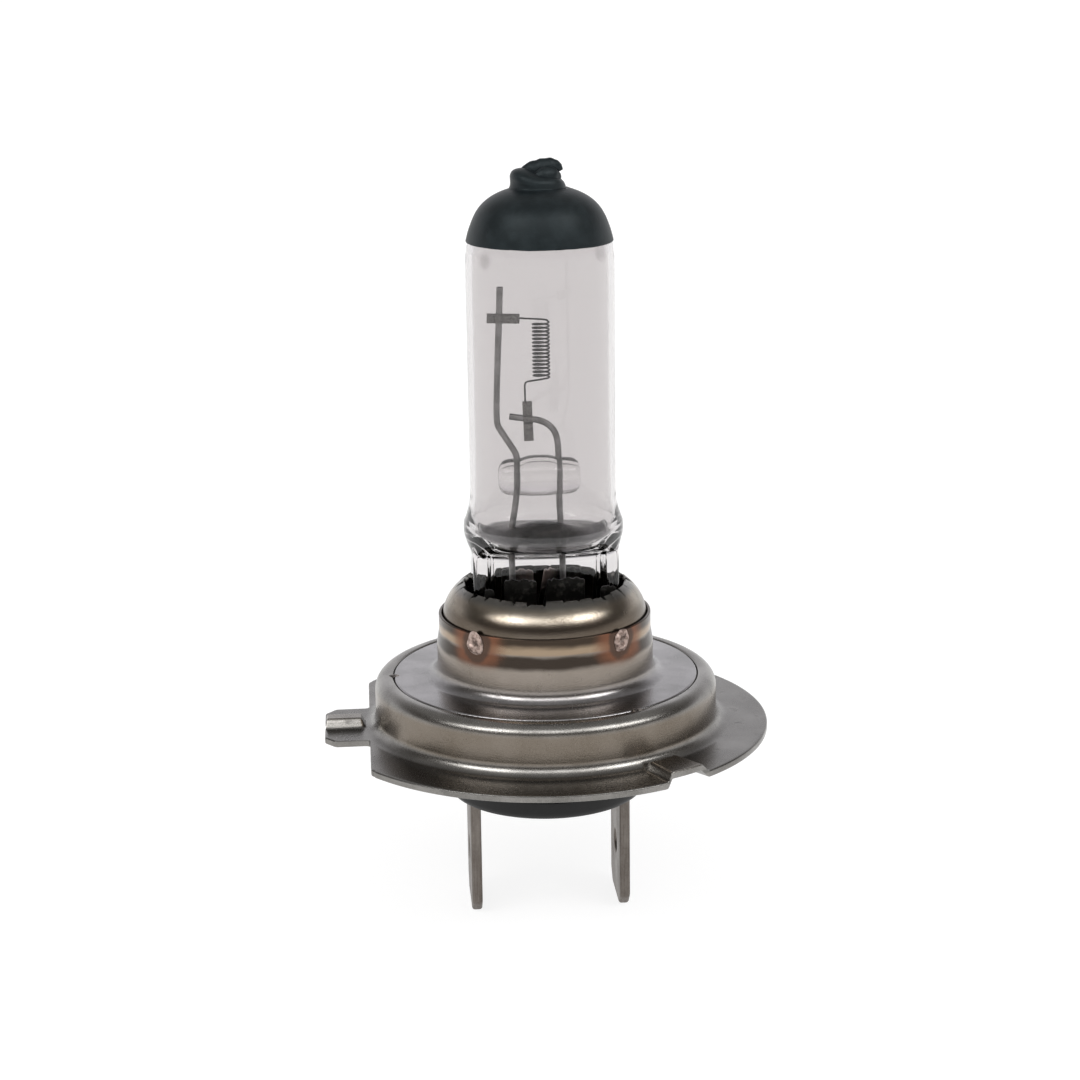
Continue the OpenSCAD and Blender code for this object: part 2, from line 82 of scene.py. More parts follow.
def turned(profile, count=192):
    """Each (radius, height) of the profile goes once round the Z axis: x = r cos a, y = r sin a."""
    a = np.linspace(0, 2 * math.pi, count, endpoint=False)
    r, z = np.asarray(profile, float).T[..., None]
    return np.stack([r * np.cos(a), r * np.sin(a), z + 0 * a], -1)


def enclosed(grid, tube):
    """Six times the volume inside a grid that is closed round its columns: the sum over the cells
    of a dot (b cross d), once for each of the cell's two triangles."""
    g = np.concatenate([grid, grid[:1]]) if tube else grid
    g = np.concatenate([g, g[:, :1]], 1)
    a, b, c, d = g[:-1, :-1], g[:-1, 1:], g[1:, 1:], g[1:, :-1]
    return (a * np.cross(b, c)).sum() + (a * np.cross(c, d)).sum()


def skin(name, *parts, sharp=40):
    """A mesh of one quad for each cell of each grid [row, column, xyz] in millimetres. A part is
    (grid, tube, cavity): columns always close, tube closes the rows too, and the faces look out of
    the material, so those of a cavity look inwards."""
    points, faces, first = [], [], 0
    for grid, tube, cavity in parts:
        rows, columns = grid.shape[:2]
        index = first + np.arange(rows * columns).reshape(rows, columns)
        index = np.concatenate([index, index[:1]]) if tube else index
        index = np.concatenate([index, index[:, :1]], 1)
        quads = np.stack([index[:-1, :-1], index[:-1, 1:], index[1:, 1:], index[1:, :-1]], -1)
        turn = (enclosed(grid, tube) < 0) != cavity
        faces.append(quads.reshape(-1, 4)[:, ::-1] if turn else quads.reshape(-1, 4))
        points.append(grid.reshape(-1, 3))
        first += rows * columns
    mesh = bpy.data.meshes.new(name)
    mesh.from_pydata(np.concatenate(points) * MM, [], np.concatenate(faces).tolist())
    solid = bmesh.new()
    solid.from_mesh(mesh)
    bmesh.ops.remove_doubles(solid, verts=solid.verts, dist=4e-7)
    solid.to_mesh(mesh)
    solid.free()
    mesh.shade_smooth()
    mesh.set_sharp_from_angle(angle=math.radians(sharp))
    piece = bpy.data.objects.new(name, mesh)
    bpy.context.scene.collection.objects.link(piece)
    return piece


def fit(piece, material, node):
    """Gives a piece its finish and its place in the frame."""
    piece.data.materials.append(material)
    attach(piece, "root")
    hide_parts(node)


class Tone:
    """One output of a node. Sums, products and powers of tones and numbers add Math nodes."""

    def __init__(self, tree, socket):
        self.tree = tree
        self.socket = socket

    def node(self, kind, settings=None, inputs=None, output=0):
        """Adds a node of that kind: first its settings, then the values or links of its sockets."""
        made = self.tree.nodes.new("ShaderNode" + kind)
        for key, value in (settings or {}).items():
            if key == "stops":
                for place, colour in value[2:]:
                    made.color_ramp.elements.new(place)
                for element, (place, colour) in zip(made.color_ramp.elements, value):
                    element.position = place
                    element.color = colour
            else:
                setattr(made, key, value)
        for key, value in (inputs or {}).items():
            if isinstance(value, Tone):
                self.tree.links.new(value.socket, made.inputs[key])
            else:
                made.inputs[key].default_value = value
        return Tone(self.tree, made.outputs[output])

    def math(self, operation, *values):
        return self.node("Math", {"operation": operation}, dict(enumerate(values)))

    def __add__(self, other):
        return self.math("ADD", self, other)

    def __sub__(self, other):
        return self.math("SUBTRACT", self, other)

    def __rsub__(self, other):
        return self.math("SUBTRACT", other, self)

    def __mul__(self, other):
        return self.math("MULTIPLY", self, other)

    def __truediv__(self, other):
        return self.math("DIVIDE", self, other)

    def __pow__(self, other):
        return self.math("POWER", self, other)

    def __abs__(self):
        return self.math("ABSOLUTE", self)

    __radd__ = __add__
    __rmul__ = __mul__

    def least(self, other):
        """The smaller of two tones."""
        return self.math("MINIMUM", self, other)

    def part(self, axis):
        """The x, y or z of a vector."""
        return self.node("SeparateXYZ", None, {0: self}, axis)

    def away(self, point):
        """The distance of a place from a point."""
        return self.node("VectorMath", {"operation": "DISTANCE"}, {0: self, 1: point}, 1)

    def grain(self, size, detail=2.0, stretch=(1, 1, 1), output=0):
        """Noise between 0 and 1 whose lumps are size millimetres wide, drawn out along an axis by
        a stretch above 1."""
        spread = tuple(1 / (size * s) for s in stretch)
        place = self.node("VectorMath", {"operation": "MULTIPLY"}, {0: self, 1: spread})
        return place.node("TexNoise", None, {"Vector": place, "Scale": 1.0, "Detail": detail}, output)

    def step(self, low, high):
        """0 below low, 1 above high, and a smooth rise between; the other way round if low > high."""
        ends = {"Value": self, "From Min": low, "From Max": high}
        return self.node("MapRange", {"interpolation_type": "SMOOTHSTEP"}, ends)

    def blend(self, first, last):
        """The first colour where this tone is 0, and the last where it is 1."""
        return self.node("Mix", {"data_type": "RGBA"}, {0: self, 6: first, 7: last}, 2)


class Finish:
    """A new material with the given values on its shader, and the piece's own place in millimetres."""

    def __init__(self, name, values):
        self.material = bpy.data.materials.new(name)
        self.material.use_nodes = True
        self.tree = self.material.node_tree
        self.shader = self.tree.nodes["Principled BSDF"]
        for key, value in values.items():
            self.shader.inputs[key].default_value = value
        place = Tone(self.tree, None).node("TexCoord", None, None, 3)
        self.place = place.node(
            "VectorMath", {"operation": "SCALE"}, {0: place, "Scale": 1 / MM}
        )

    def feed(self, key, tone):
        self.tree.links.new(tone.socket, self.shader.inputs[key])

    def relief(self, height, depth):
        """Bumps of that many millimetres from a tone between 0 and 1."""
        bump = height.node("Bump", None, {"Height": height, "Strength": 1.0, "Distance": depth * MM})
        self.feed("Normal", bump)


def gusset(angle):
    """A web under the shoulder: a triangle in the plane of the axis, swept across its thickness,
    with its two ends drawn in to the middle of the triangle so that it is closed."""
    depth = 1.6 * (SHOULDER_LOW + 0.7)
    corners = [[BASE_R - 0.4, SHOULDER_LOW + 0.2], [SHOULDER_R - 0.5, SHOULDER_LOW + 0.2]]
    corners += [[SHOULDER_R - 0.5, SHOULDER_LOW], [BASE_R - 0.4, SHOULDER_LOW - depth]]
    outline = soft_corners(corners, 0.08, 3)
    middle = outline.mean(0)
    offsets = np.array([-1, -1, -0.9, -0.3, 0.3, 0.9, 1, 1]) * GUSSET_T / 2
    sizes = np.array([0, 0.94, 1, 1, 1, 1, 0.94, 0])
    flat = middle + (outline - middle) * sizes[:, None, None]
    c, s = math.cos(angle), math.sin(angle)
    y = np.broadcast_to(offsets[:, None], flat.shape[:2])
    return np.stack([flat[..., 0] * c - y * s, flat[..., 0] * s + y * c, flat[..., 1]], -1)


insulator_section = soft_corners(
    [
        [0, BASE_FOOT + 0.25], [5.2, BASE_FOOT + 0.25], [5.45, BASE_FOOT], [BASE_R, BASE_FOOT],
        [BASE_R, -4.9], [BASE_R - 0.08, -4.75], [BASE_R, -4.6],
        [BASE_R, SHOULDER_LOW], [SHOULDER_R, SHOULDER_LOW], [SHOULDER_R, SHOULDER_TOP],
        [NECK_R, SHOULDER_TOP], [NECK_R, NECK_TOP], [HOLLOW_R, NECK_TOP],
        [HOLLOW_R, HOLLOW_FLOOR], [0, HOLLOW_FLOOR],
    ],
    [0, 0.15, 0.15, 0.6, 0.1, 0.1, 0.1, 0.15, 0.15, 0.15, 0.1, 0.2, 0.2, 0.3, 0],
)
insulator = skin(
    "insulator_base",
    (turned(insulator_section), False, False),
    *[(gusset((i + 0.5) * 2 * math.pi / GUSSETS), False, False) for i in range(GUSSETS)],
)
moulded = Finish("moulded_black_plastic", {"Base Color": BLACK, "IOR": 1.38})
texture = moulded.place.grain(0.16, 3.0)
scuff = moulded.place.grain(2.4, 4.0)
moulded.feed("Base Color", scuff.step(0.45, 0.75).blend(BLACK, (0.011, 0.011, 0.011, 1)))
moulded.feed("Roughness", 0.32 + 0.22 * scuff + 0.1 * texture)
moulded.relief(texture * 0.7 + scuff * 0.3, 0.012)
fit(insulator, moulded.material, "insulator_base")


# ---- contact blades ----
# Two tabs stamped from brass strip and plated, with a punched detent hole and a chamfered end.
# The shear leaves a rolled edge all round, and the plating has gone brown with handling.

BLADE_PITCH = 11.4
BLADE_W = 6.3
BLADE_T = 0.8
BLADE_TOP = 2.26
BLADE_LOW = -15.5
HOLE_R = 0.9
HOLE_Z = -11.1


def along_outline(outline, count):
    """Points at even distances along a closed outline, starting at its first point."""
    loop = np.concatenate([outline, outline[:1]])
    run = np.concatenate([[0], np.cumsum(np.linalg.norm(np.diff(loop, axis=0), axis=1))])
    at = np.linspace(0, run[-1], count, endpoint=False)
    return np.stack([np.interp(at, run, loop[:, k]) for k in range(loop.shape[1])], -1)


def sheet_rows(thickness, edge, across):
    """The way round a sheet's section from its hole to its rim and back: for each row, how far it
    is from hole to rim, how far in from an edge, and its height, with rounded edges."""
    a = np.radians(np.linspace(0, 90, 5))
    flat = np.linspace(0, 1, across)
    top = np.full(across, thickness / 2)
    rim_in = edge * (1 - np.sin(a))
    rim_z = thickness / 2 - edge * (1 - np.cos(a))
    share = np.concatenate([flat, np.ones(10), flat[::-1], np.zeros(10)])
    inset = np.concatenate([flat * 0 + edge, rim_in, rim_in[::-1], flat * 0 + edge, rim_in, rim_in[::-1]])
    height = np.concatenate([top, rim_z, -rim_z[::-1], -top, -rim_z, rim_z[::-1]])
    return share, inset, height


def inwards(outline, distance):
    """An outline moved to its left by a distance: each point goes along its edge's normal."""
    t = np.roll(outline, -1, 0) - np.roll(outline, 1, 0)
    t = t / np.linalg.norm(t, axis=1, keepdims=True)
    return outline + distance * np.stack([-t[:, 1], t[:, 0]], -1)


def blade(side):
    """A sheet with one hole is a ring: its rows run from the hole to the rim on one face, round
    the rim's rolled edge and back on the other face, and its columns go round the hole."""
    half = BLADE_W / 2
    rim = along_outline(
        soft_corners(
            [
                [half, HOLE_Z], [half, BLADE_TOP], [-half, BLADE_TOP], [-half, BLADE_LOW + 1],
                [-half + 1, BLADE_LOW], [half - 1, BLADE_LOW], [half, BLADE_LOW + 1],
            ],
            [0, 0.1, 0.1, 0.5, 0.5, 0.5, 0.5],
        ),
        320,
    )
    a = np.unwrap(np.arctan2(rim[:, 1] - HOLE_Z, rim[:, 0]))
    hole = np.stack([HOLE_R * np.cos(a), HOLE_Z + HOLE_R * np.sin(a)], -1)
    share, inset, height = sheet_rows(BLADE_T, 0.22, 12)
    share = share[:, None, None]
    at_hole = hole + (hole - [0, HOLE_Z]) / HOLE_R * inset[:, None, None]
    at_rim = inwards(rim, 1.0) - rim
    at_rim = rim + at_rim * inset[:, None, None]
    flat = at_hole * (1 - share) + at_rim * share
    x = np.broadcast_to(side * BLADE_PITCH / 2 + height[:, None], flat.shape[:2])
    return np.stack([x, flat[..., 0], flat[..., 1]], -1)


def plated(name, clean, aged):
    """Dull plating: long drawn lines down the strip, cloudy brown ageing and small scratches."""
    finish = Finish(name, {"Base Color": clean, "Metallic": 1.0})
    lines = finish.place.grain(0.09, 2.0, (1, 1, 30))
    cloud = finish.place.grain(2.2, 5.0)
    speck = finish.place.grain(0.14, 2.0)
    brown = (cloud * 0.5 + lines * 0.35 + speck * 0.15).step(0.25, 0.8)
    finish.feed("Base Color", brown.blend(clean, aged))
    finish.feed("Roughness", 0.3 + 0.2 * brown + 0.1 * speck)
    finish.relief(lines * 0.6 + speck * 0.4, 0.012)
    return finish.material


blade_finish = plated("aged_plating", (0.21, 0.19, 0.172, 1), (0.085, 0.069, 0.058, 1))
for blade_name, blade_side in (("left_blade", -1), ("right_blade", 1)):
    fit(skin(blade_name, (blade(blade_side), True, False)), blade_finish, blade_name)


# ---- glass envelope ----
# A hard glass tube, blown shut at the top and pressed flat at the foot round the two wires.
# The press leaves a thick rib down each side, and the soft glass bulges just above the pinch.

TUBE_R = 5.46
BORE_R = 5.0
PINCH_X = 5.45
PINCH_FOOT = 4.2
RIB_Y = 2.5
RIB_W = 1.1
WEB_Y = 1.8
COLUMNS = 256
NUB_LEAN = 0.12
NUB_SAG = 0.1
NUB_TILT = 0.18
DOME = np.array(
    [
        [5.46, 33.6], [5.455, 34.4], [5.42, 35.0], [5.33, 35.7], [5.18, 36.4], [4.98, 37.1],
        [4.72, 37.7], [4.42, 38.2], [4.04, 38.62], [3.6, 38.96], [3.1, 39.24], [2.62, 39.44],
        [2.3, 39.54], [2.1, 39.64], [2.0, 39.8], [1.98, 40.0], [2.0, 40.2], [1.92, 40.48],
        [1.7, 40.7], [1.3, 40.86], [0.8, 40.95], [0.3, 41.0], [0, 41.0],
    ]
)


def rounded_run(points, times=3):
    """A smooth open run: each pass replaces every corner by points a quarter and three quarters
    along its edges, and keeps both ends."""
    p = np.asarray(points, float)
    for _ in range(times):
        near = p[:-1] * 0.75 + p[1:] * 0.25
        far = p[:-1] * 0.25 + p[1:] * 0.75
        p = np.concatenate([p[:1], np.stack([near, far], 1).reshape(-1, p.shape[1]), p[-1:]])
    return p


def pinch_outline():
    """The pinch from above, as a flat web with a thicker rib at each side, and for each of its
    points the angle it has on the round tube: a quarter turn for a quarter of its length."""
    inner = PINCH_X - RIB_W
    corners = [[PINCH_X, RIB_Y], [inner, RIB_Y], [inner - 0.25, WEB_Y], [0.25 - inner, WEB_Y]]
    corners += [[-inner, RIB_Y], [-PINCH_X, RIB_Y]]
    corners += [[-x, -y] for x, y in corners]
    corners = [[PINCH_X, 0]] + corners
    radii = [0.1] + [0.45, 0.35, 0.5, 0.5, 0.35, 0.45] * 2
    outline = along_outline(soft_corners(corners, radii, 8), COLUMNS)
    return outline, np.arange(COLUMNS) / COLUMNS * 2 * math.pi


def glass_outside():
    """The tube's outside: at each height the outline goes from pinch to circle by a share between
    0 and 1, with the circle's radius from a profile, then the dome's profile turned round Z."""
    outline, a = pinch_outline()
    foot = np.array(
        [
            [0, PINCH_FOOT], [0.9, PINCH_FOOT], [1, PINCH_FOOT + 0.12], [1, 8], [1, 11.4],
            [1, 12.1], [0.97, 12.45], [0.88, 12.75], [0.66, 13.0], [0.4, 13.25], [0.18, 13.6],
            [0.05, 14.0], [0, 14.4], [0, 15],
        ]
    )
    run = rounded_run(foot, 2)
    z = run[:, 1]
    share = np.where(z < 11, 1.0, run[:, 0])[:, None, None]
    size = np.where(z < 11, run[:, 0], 1.0)[:, None, None]
    shoulder = rounded_run([[5.75, 12], [5.9, 13.4], [6.0, 14.1], [6.0, 14.6], [5.95, 15]], 2)
    round_r = np.interp(z, shoulder[:, 1], shoulder[:, 0])
    circle = round_r[:, None, None] * np.stack([np.cos(a), np.sin(a)], -1)
    flat = (outline * share + circle * (1 - share)) * size
    lower = np.concatenate([flat, np.broadcast_to(z[:, None, None], flat.shape[:2] + (1,))], -1)
    neck = rounded_run([[5.95, 15.0], [5.75, 15.5], [5.55, 16.2], [TUBE_R, 17.0], [TUBE_R, 18]], 2)
    upper = np.concatenate([neck[1:], rounded_run(DOME, 2)])
    nub = np.clip((upper[:, 1:] - 39.6) / 0.5, 0, 1)
    r = upper[:, :1] * (1 - 0.07 * nub)
    x = r * np.cos(a) - NUB_LEAN * nub
    sag = nub * (NUB_SAG + 0.08 + NUB_TILT * r * np.cos(a))
    upper = np.stack([x, r * np.sin(a), upper[:, 1:] - sag], -1)
    return np.concatenate([lower, upper])


cavity = rounded_run(
    [
        [0, 14.85], [0.7, 14.8], [1.6, 14.45], [2.6, 13.95], [3.5, 13.7], [4.5, 13.7], [5.1, 13.95],
        [5.4, 14.4], [5.38, 15.0], [5.2, 15.9], [BORE_R, 17.0], [BORE_R, 34.5],
        [4.85, 35.6], [4.4, 36.9], [3.3, 38.0], [1.6, 38.65], [0, 38.8],
    ],
    3,
)
glass = skin(
    "glass_envelope",
    (glass_outside(), False, False),
    (turned(cavity, COLUMNS), False, True),
    sharp=60,
)
clear = Finish(
    "grey_tinted_glass",
    {"Roughness": 0.0, "IOR": 1.48, "Transmission Weight": 1.0},
)
# Two darker vertical streaks on the front of the tube, just below the coat's edge.
dark_patch = clear.place.away((-4.3, -3.35, 34.9)).least(clear.place.away((4.15, -3.5, 35.3)))
dark_patch = (dark_patch + 0.5 * clear.place.grain(0.5, 3.0, (1, 1, 5))).step(1.15, 0.45)
# Painted shade: the glass round the cavity floor is coloured near black, standing in for the dark mouth
# seen through it.
painted_punt_shade = clear.place.part(2).step(15.0, 14.8) * clear.place.part(2).step(13.6, 13.66)
painted_punt_shade = painted_punt_shade * (clear.place.part(0) ** 2 + clear.place.part(1) ** 2).step(24, 20)
tint = dark_patch.blend((0.73, 0.71, 0.71, 1), (0.5, 0.48, 0.48, 1))
clear.feed("Base Color", painted_punt_shade.blend(tint, (0.03, 0.03, 0.029, 1)))
ripple = clear.place.grain(2.2, 1.0, (1, 1, 6))
clear.relief(ripple, 0.01)
fit(glass, clear.material, "glass_envelope")


# ---- anti-glare coating ----
# A thin coat of black heat-proof paint over the closed end, dipped, so that its lower edge is
# slightly ragged. It follows the crooked tip where the filling tube was melted off.

COAT_EDGE = 35.88


def waves(a, seed, count=9):
    """Uneven waves round a circle between about -1 and 1: a sum of sines of whole turns, each
    with its own shift and a height that falls with its number."""
    draw = np.random.default_rng(seed)
    k = np.arange(1, count + 1)
    shift = draw.uniform(0, 2 * math.pi, count)
    height = draw.uniform(0.4, 1, count) / k**0.7
    return (height * np.sin(np.asarray(a)[..., None] * k + shift)).sum(-1) / height.sum() * 2


def coat_side(grow):
    """The dome's profile from the painted edge up, grown along its normal, with an edge that
    wanders by a tenth of a millimetre and lumps that swell towards the nub."""
    a = np.linspace(0, 2 * math.pi, COLUMNS, endpoint=False)
    run = rounded_run(DOME, 3)
    run = run[run[:, 1] > COAT_EDGE - 0.3]
    t = np.gradient(run, axis=0)
    normal = np.stack([t[:, 1], -t[:, 0]], -1) / np.linalg.norm(t, axis=1, keepdims=True)
    side = run + normal * grow
    side[-1, 0] = 0
    r = np.broadcast_to(side[:, :1], (len(side), COLUMNS)).copy()
    z = np.broadcast_to(side[:, 1:], (len(side), COLUMNS)).copy()
    edge = COAT_EDGE - 0.06 + 0.1 * np.sin(a) + 0.035 * waves(a, 4, 40) + 0.03 * waves(a, 5, 12)
    low = np.clip((COAT_EDGE + 1.2 - run[:, 1:]) / 1.5, 0, 1)
    z = z + low * (edge - (COAT_EDGE - 0.3)) * (run[:, 1:] < COAT_EDGE + 1.2)
    nub = np.clip((run[:, 1:] - 39.6) / 0.5, 0, 1)
    r = r * (1 + nub * 0.035 * waves(a, 8, 5))
    z = z + nub * 0.08 * waves(a, 9, 4) * np.minimum(r, 1)
    z = z - nub * (NUB_SAG + NUB_TILT * r * np.cos(a))
    lean = NUB_LEAN * nub
    return np.stack([r * np.cos(a) - lean, r * np.sin(a), z], -1)


def drip(path, sizes, count=40):
    """A tapering curl: round sections of the given sizes square to a path in 3D, with lumpy
    edges, and both ends drawn in to a point."""
    p = rounded_run(path, 3)
    r = rounded_run(np.asarray(sizes, float)[:, None], 3)[:, 0]
    t = np.gradient(p, axis=0)
    t = t / np.linalg.norm(t, axis=1, keepdims=True)
    n = np.cross([0.2, 1.0, 0.1], t)
    n = n / np.linalg.norm(n, axis=1, keepdims=True)
    b = np.cross(t, n)
    a = np.linspace(0, 2 * math.pi, count, endpoint=False)
    lump = 1 + 0.07 * waves(a, 21, 4) + 0.04 * np.sin(np.arange(len(p)) * 0.9)[:, None]
    r = r[:, None, None] * lump[..., None]
    spin = np.cos(a)[:, None] * n[:, None] + np.sin(a)[:, None] * b[:, None]
    return p[:, None] + r * spin


coat = np.concatenate([coat_side(0.008)[::-1], coat_side(0.06)])
tip = drip(
    [
        [-1.5, 0.1, 40.5], [-0.9, 0.05, 40.85], [0.0, 0, 41.02], [0.75, -0.1, 41.27],
        [1.2, -0.15, 41.2], [1.55, -0.2, 41.05], [1.75, -0.25, 40.98],
    ],
    [0, 0.55, 0.66, 0.56, 0.46, 0.3, 0],
)
knob = drip(
    [[-0.6, -0.9, 40.3], [-0.1, -1.0, 40.55], [0.6, -0.8, 40.65], [1.2, -0.4, 40.5], [1.6, 0, 40.1]],
    [0, 0.5, 0.6, 0.5, 0],
)
coating = skin(
    "antiglare_coating", (coat, False, False), (tip, False, False), (knob, False, False), sharp=70
)
paint = Finish("matt_black_coat", {"IOR": 1.34, "Specular Tint": (0.84, 0.96, 1.0, 1)})
mottle = paint.place.grain(0.9, 4.0)
orange_peel = paint.place.grain(0.13, 3.0)
blue_black = mottle.step(0.35, 0.7).blend((0.0035, 0.006, 0.0072, 1), (0.0085, 0.0125, 0.0142, 1))
paint.feed("Base Color", blue_black)
paint.feed("Roughness", 0.36 + 0.12 * mottle + 0.08 * orange_peel)
paint.relief(orange_peel * 0.6 + mottle * 0.4, 0.02)
fit(coating, paint.material, "antiglare_coating")


# ---- support wires ----
# Two molybdenum wires, half a millimetre thick, that come up through the pinch and the bead.
# The long one stands beside the filament; the short one bends over under it.

LEAD_R = 0.24
LONG_WIRE = [
    [-2.96, 32.6], [-3.05, 30.25], [-3.22, 27.05], [-3.36, 23.8], [-3.36, 22.7], [-3.3, 22.25],
    [-3.03, 21.8], [-2.15, 20.4], [-1.95, 20.05], [-1.88, 19.5], [-1.95, 16.8], [-2.45, 14.0],
    [-2.45, 12.6], [-2.4, 4.0],
    [-2.5, 3.3], [-4.86, 2.4], [-5.06, 1.8], [-5.06, -1.3],
]
SHORT_WIRE = [
    [-2.42, 22.92], [-1.2, 22.72], [-0.2, 22.6], [0.65, 22.15], [1.14, 21.3], [1.22, 19.6],
    [1.2, 16.8], [1.34, 14.0], [1.34, 12.6], [1.5, 4.0], [1.8, 3.3], [4.86, 2.4],
    [5.06, 1.8], [5.06, -1.3],
]


def drawn_wire(path, radius, count=24, across=(0, 1, 0), ends=0.25):
    """A round wire: circles of the radius in the plane square to the path, spanned by the cross
    product of the path's direction with a fixed vector, and by that of the two. Each end is
    broken by a small chamfer and closed to a point."""
    t = np.gradient(path, axis=0)
    t = t / np.linalg.norm(t, axis=1, keepdims=True)
    n = np.cross(across, t)
    n = n / np.linalg.norm(n, axis=1, keepdims=True)
    b = np.cross(t, n)
    a = np.linspace(0, 2 * math.pi, count, endpoint=False)
    spin = np.cos(a)[:, None] * n[:, None] + np.sin(a)[:, None] * b[:, None]
    size = np.ones(len(path) + 4)
    size[[0, -1]] = 0
    size[[1, -2]] = 1 - ends
    back = np.zeros(len(size))
    back[2], back[-3] = ends, -ends
    index = np.clip(np.arange(-2, len(path) + 2), 0, len(path) - 1)
    rings = path[index][:, None] + (back * radius)[:, None, None] * t[index][:, None]
    return rings + spin[index] * (radius * size)[:, None, None]


def in_plane(points, times=3):
    """A smooth path in the XZ plane."""
    run = rounded_run(points, times)
    return np.stack([run[:, 0], 0 * run[:, 0], run[:, 1]], -1)


moly = Finish("drawn_molybdenum", {"Metallic": 1.0})
die_lines = moly.place.grain(0.07, 2.0, (1, 1, 40))
tarnish = moly.place.grain(1.1, 3.0)
moly.feed("Base Color", tarnish.step(0.35, 0.7).blend((0.2, 0.195, 0.19, 1), (0.33, 0.325, 0.32, 1)))
moly.feed("Roughness", 0.28 + 0.25 * die_lines)
moly.relief(die_lines, 0.015)
for wire_name, wire_points in (
    ("long_support_wire", LONG_WIRE),
    ("short_support_wire", SHORT_WIRE),
):
    wire = skin(wire_name, (drawn_wire(in_plane(wire_points), LEAD_R), False, False))
    fit(wire, moly.material, wire_name)


# ---- bridge bead ----
# A short rod of clear glass melted across both wires, which keeps them apart. It swells a
# little between the wires, and its ends are fire-polished round.

BEAD_R = 1.5
BEAD_Z = 18.35
BEAD_HALF = 3.1
BEAD_MIDDLE = -0.25


def bead_surface():
    """A rod along X: its radius falls to 0 at each end as a fourth-power curve, swells between the
    wires as a bell curve on its upper side, and dips a little at each wire."""
    v = np.linspace(-1, 1, 90)
    v = np.sin(v * math.pi / 2)[:, None]
    a = np.linspace(0, 2 * math.pi, 72, endpoint=False)[None]
    x = v * BEAD_HALF
    r = (BEAD_R - 0.12) * (1 - np.abs(v) ** 9) ** 0.4
    up = np.maximum(np.sin(a), 0) ** 0.5
    r = r * (1 + 0.15 * np.exp(-((x / 1.15) ** 4)) * (0.35 + 0.65 * up))
    return np.stack([x + BEAD_MIDDLE + 0 * a, r * np.cos(a), BEAD_Z + r * np.sin(a)], -1)


bead = skin("bridge_bead", (bead_surface(), False, False), sharp=60)
bead_glass = Finish(
    "clear_bead_glass",
    {"Base Color": (0.97, 0.965, 0.96, 1), "Roughness": 0.0, "IOR": 1.48, "Transmission Weight": 1.0},
)
bead_glass.relief(bead_glass.place.grain(0.9, 1.0), 0.012)
fit(bead, bead_glass.material, "bridge_bead")


# ---- filament ----
# One coil of fine tungsten wire standing on the axis of the bulb, with a leg at each end that
# runs into a folded clamp.

COIL_LOW = 25.8
COIL_LEN = 4.1
COIL_R = 0.6
COIL_TURNS = 15
FILAMENT_R = 0.068


def coil_path():
    """A lower leg that bends over to the coil, a helix x = r cos a, y = r sin a that rises evenly
    with a, and an upper leg back to the long wire."""
    a = np.linspace(0, 2 * math.pi * COIL_TURNS, COIL_TURNS * 36)
    rise = COIL_LOW + COIL_LEN * a / a[-1]
    coil = np.stack([COIL_R * np.cos(a), COIL_R * np.sin(a), rise], -1)
    leg = in_plane([[-1.22, 23.6], [-1.24, 24.9], [-1.24, 25.4], [-1.0, 25.52], [-0.2, 25.6], [0.5, 25.72]])
    head = in_plane([[0.45, 30.05], [0.1, 30.12], [-2.1, 30.27]], 2)
    return np.concatenate([leg, coil, head])


filament = skin(
    "filament",
    (drawn_wire(coil_path(), FILAMENT_R, 10, (0, 0.6, 0.8)), False, False),
)
tungsten = Finish("tungsten", {"Metallic": 1.0})
fibre = tungsten.place.grain(0.05, 2.0)
tungsten.feed("Base Color", fibre.blend((0.045, 0.044, 0.043, 1), (0.12, 0.117, 0.113, 1)))
tungsten.feed("Roughness", 0.38 + 0.15 * fibre)
fit(filament, tungsten.material, "filament")


# ---- filament clamps ----
# A strip of molybdenum foil folded round each support wire and squeezed shut on the filament's
# leg. The press leaves its faces uneven and its cut edges a little open.

STRIP_T = 0.12
STRIP_W = 0.7


def folded_strip(start, end, seed):
    """The strip's section in its own length and depth, swollen into a round eye at the wire, and
    swept across its width; both cut sides are drawn in to the section's middle line."""
    s = np.linspace(start, end, 90)
    eye = np.sqrt(np.maximum((LEAD_R + STRIP_T) ** 2 - s**2, 0))
    half = np.maximum(FILAMENT_R + STRIP_T * 0.8, eye)
    half = half + 0.012 * np.sin(s * 9 + seed)
    depth = np.concatenate([half, -half[::-1]])
    run = np.concatenate([s, s[::-1]])
    side = np.array([-1, -1, -0.94, -0.5, 0, 0.5, 0.94, 1, 1]) * STRIP_W / 2
    size = np.array([0, 0.8, 1, 1, 1, 1, 1, 0.8, 0])
    dent = 1 + 0.05 * np.sin(side * 11 + seed)[:, None] * np.cos(run * 5)[None]
    return (
        np.broadcast_to(run, (9, len(run))),
        depth[None] * size[:, None] * dent,
        np.broadcast_to(side[:, None], (9, len(run))),
    )


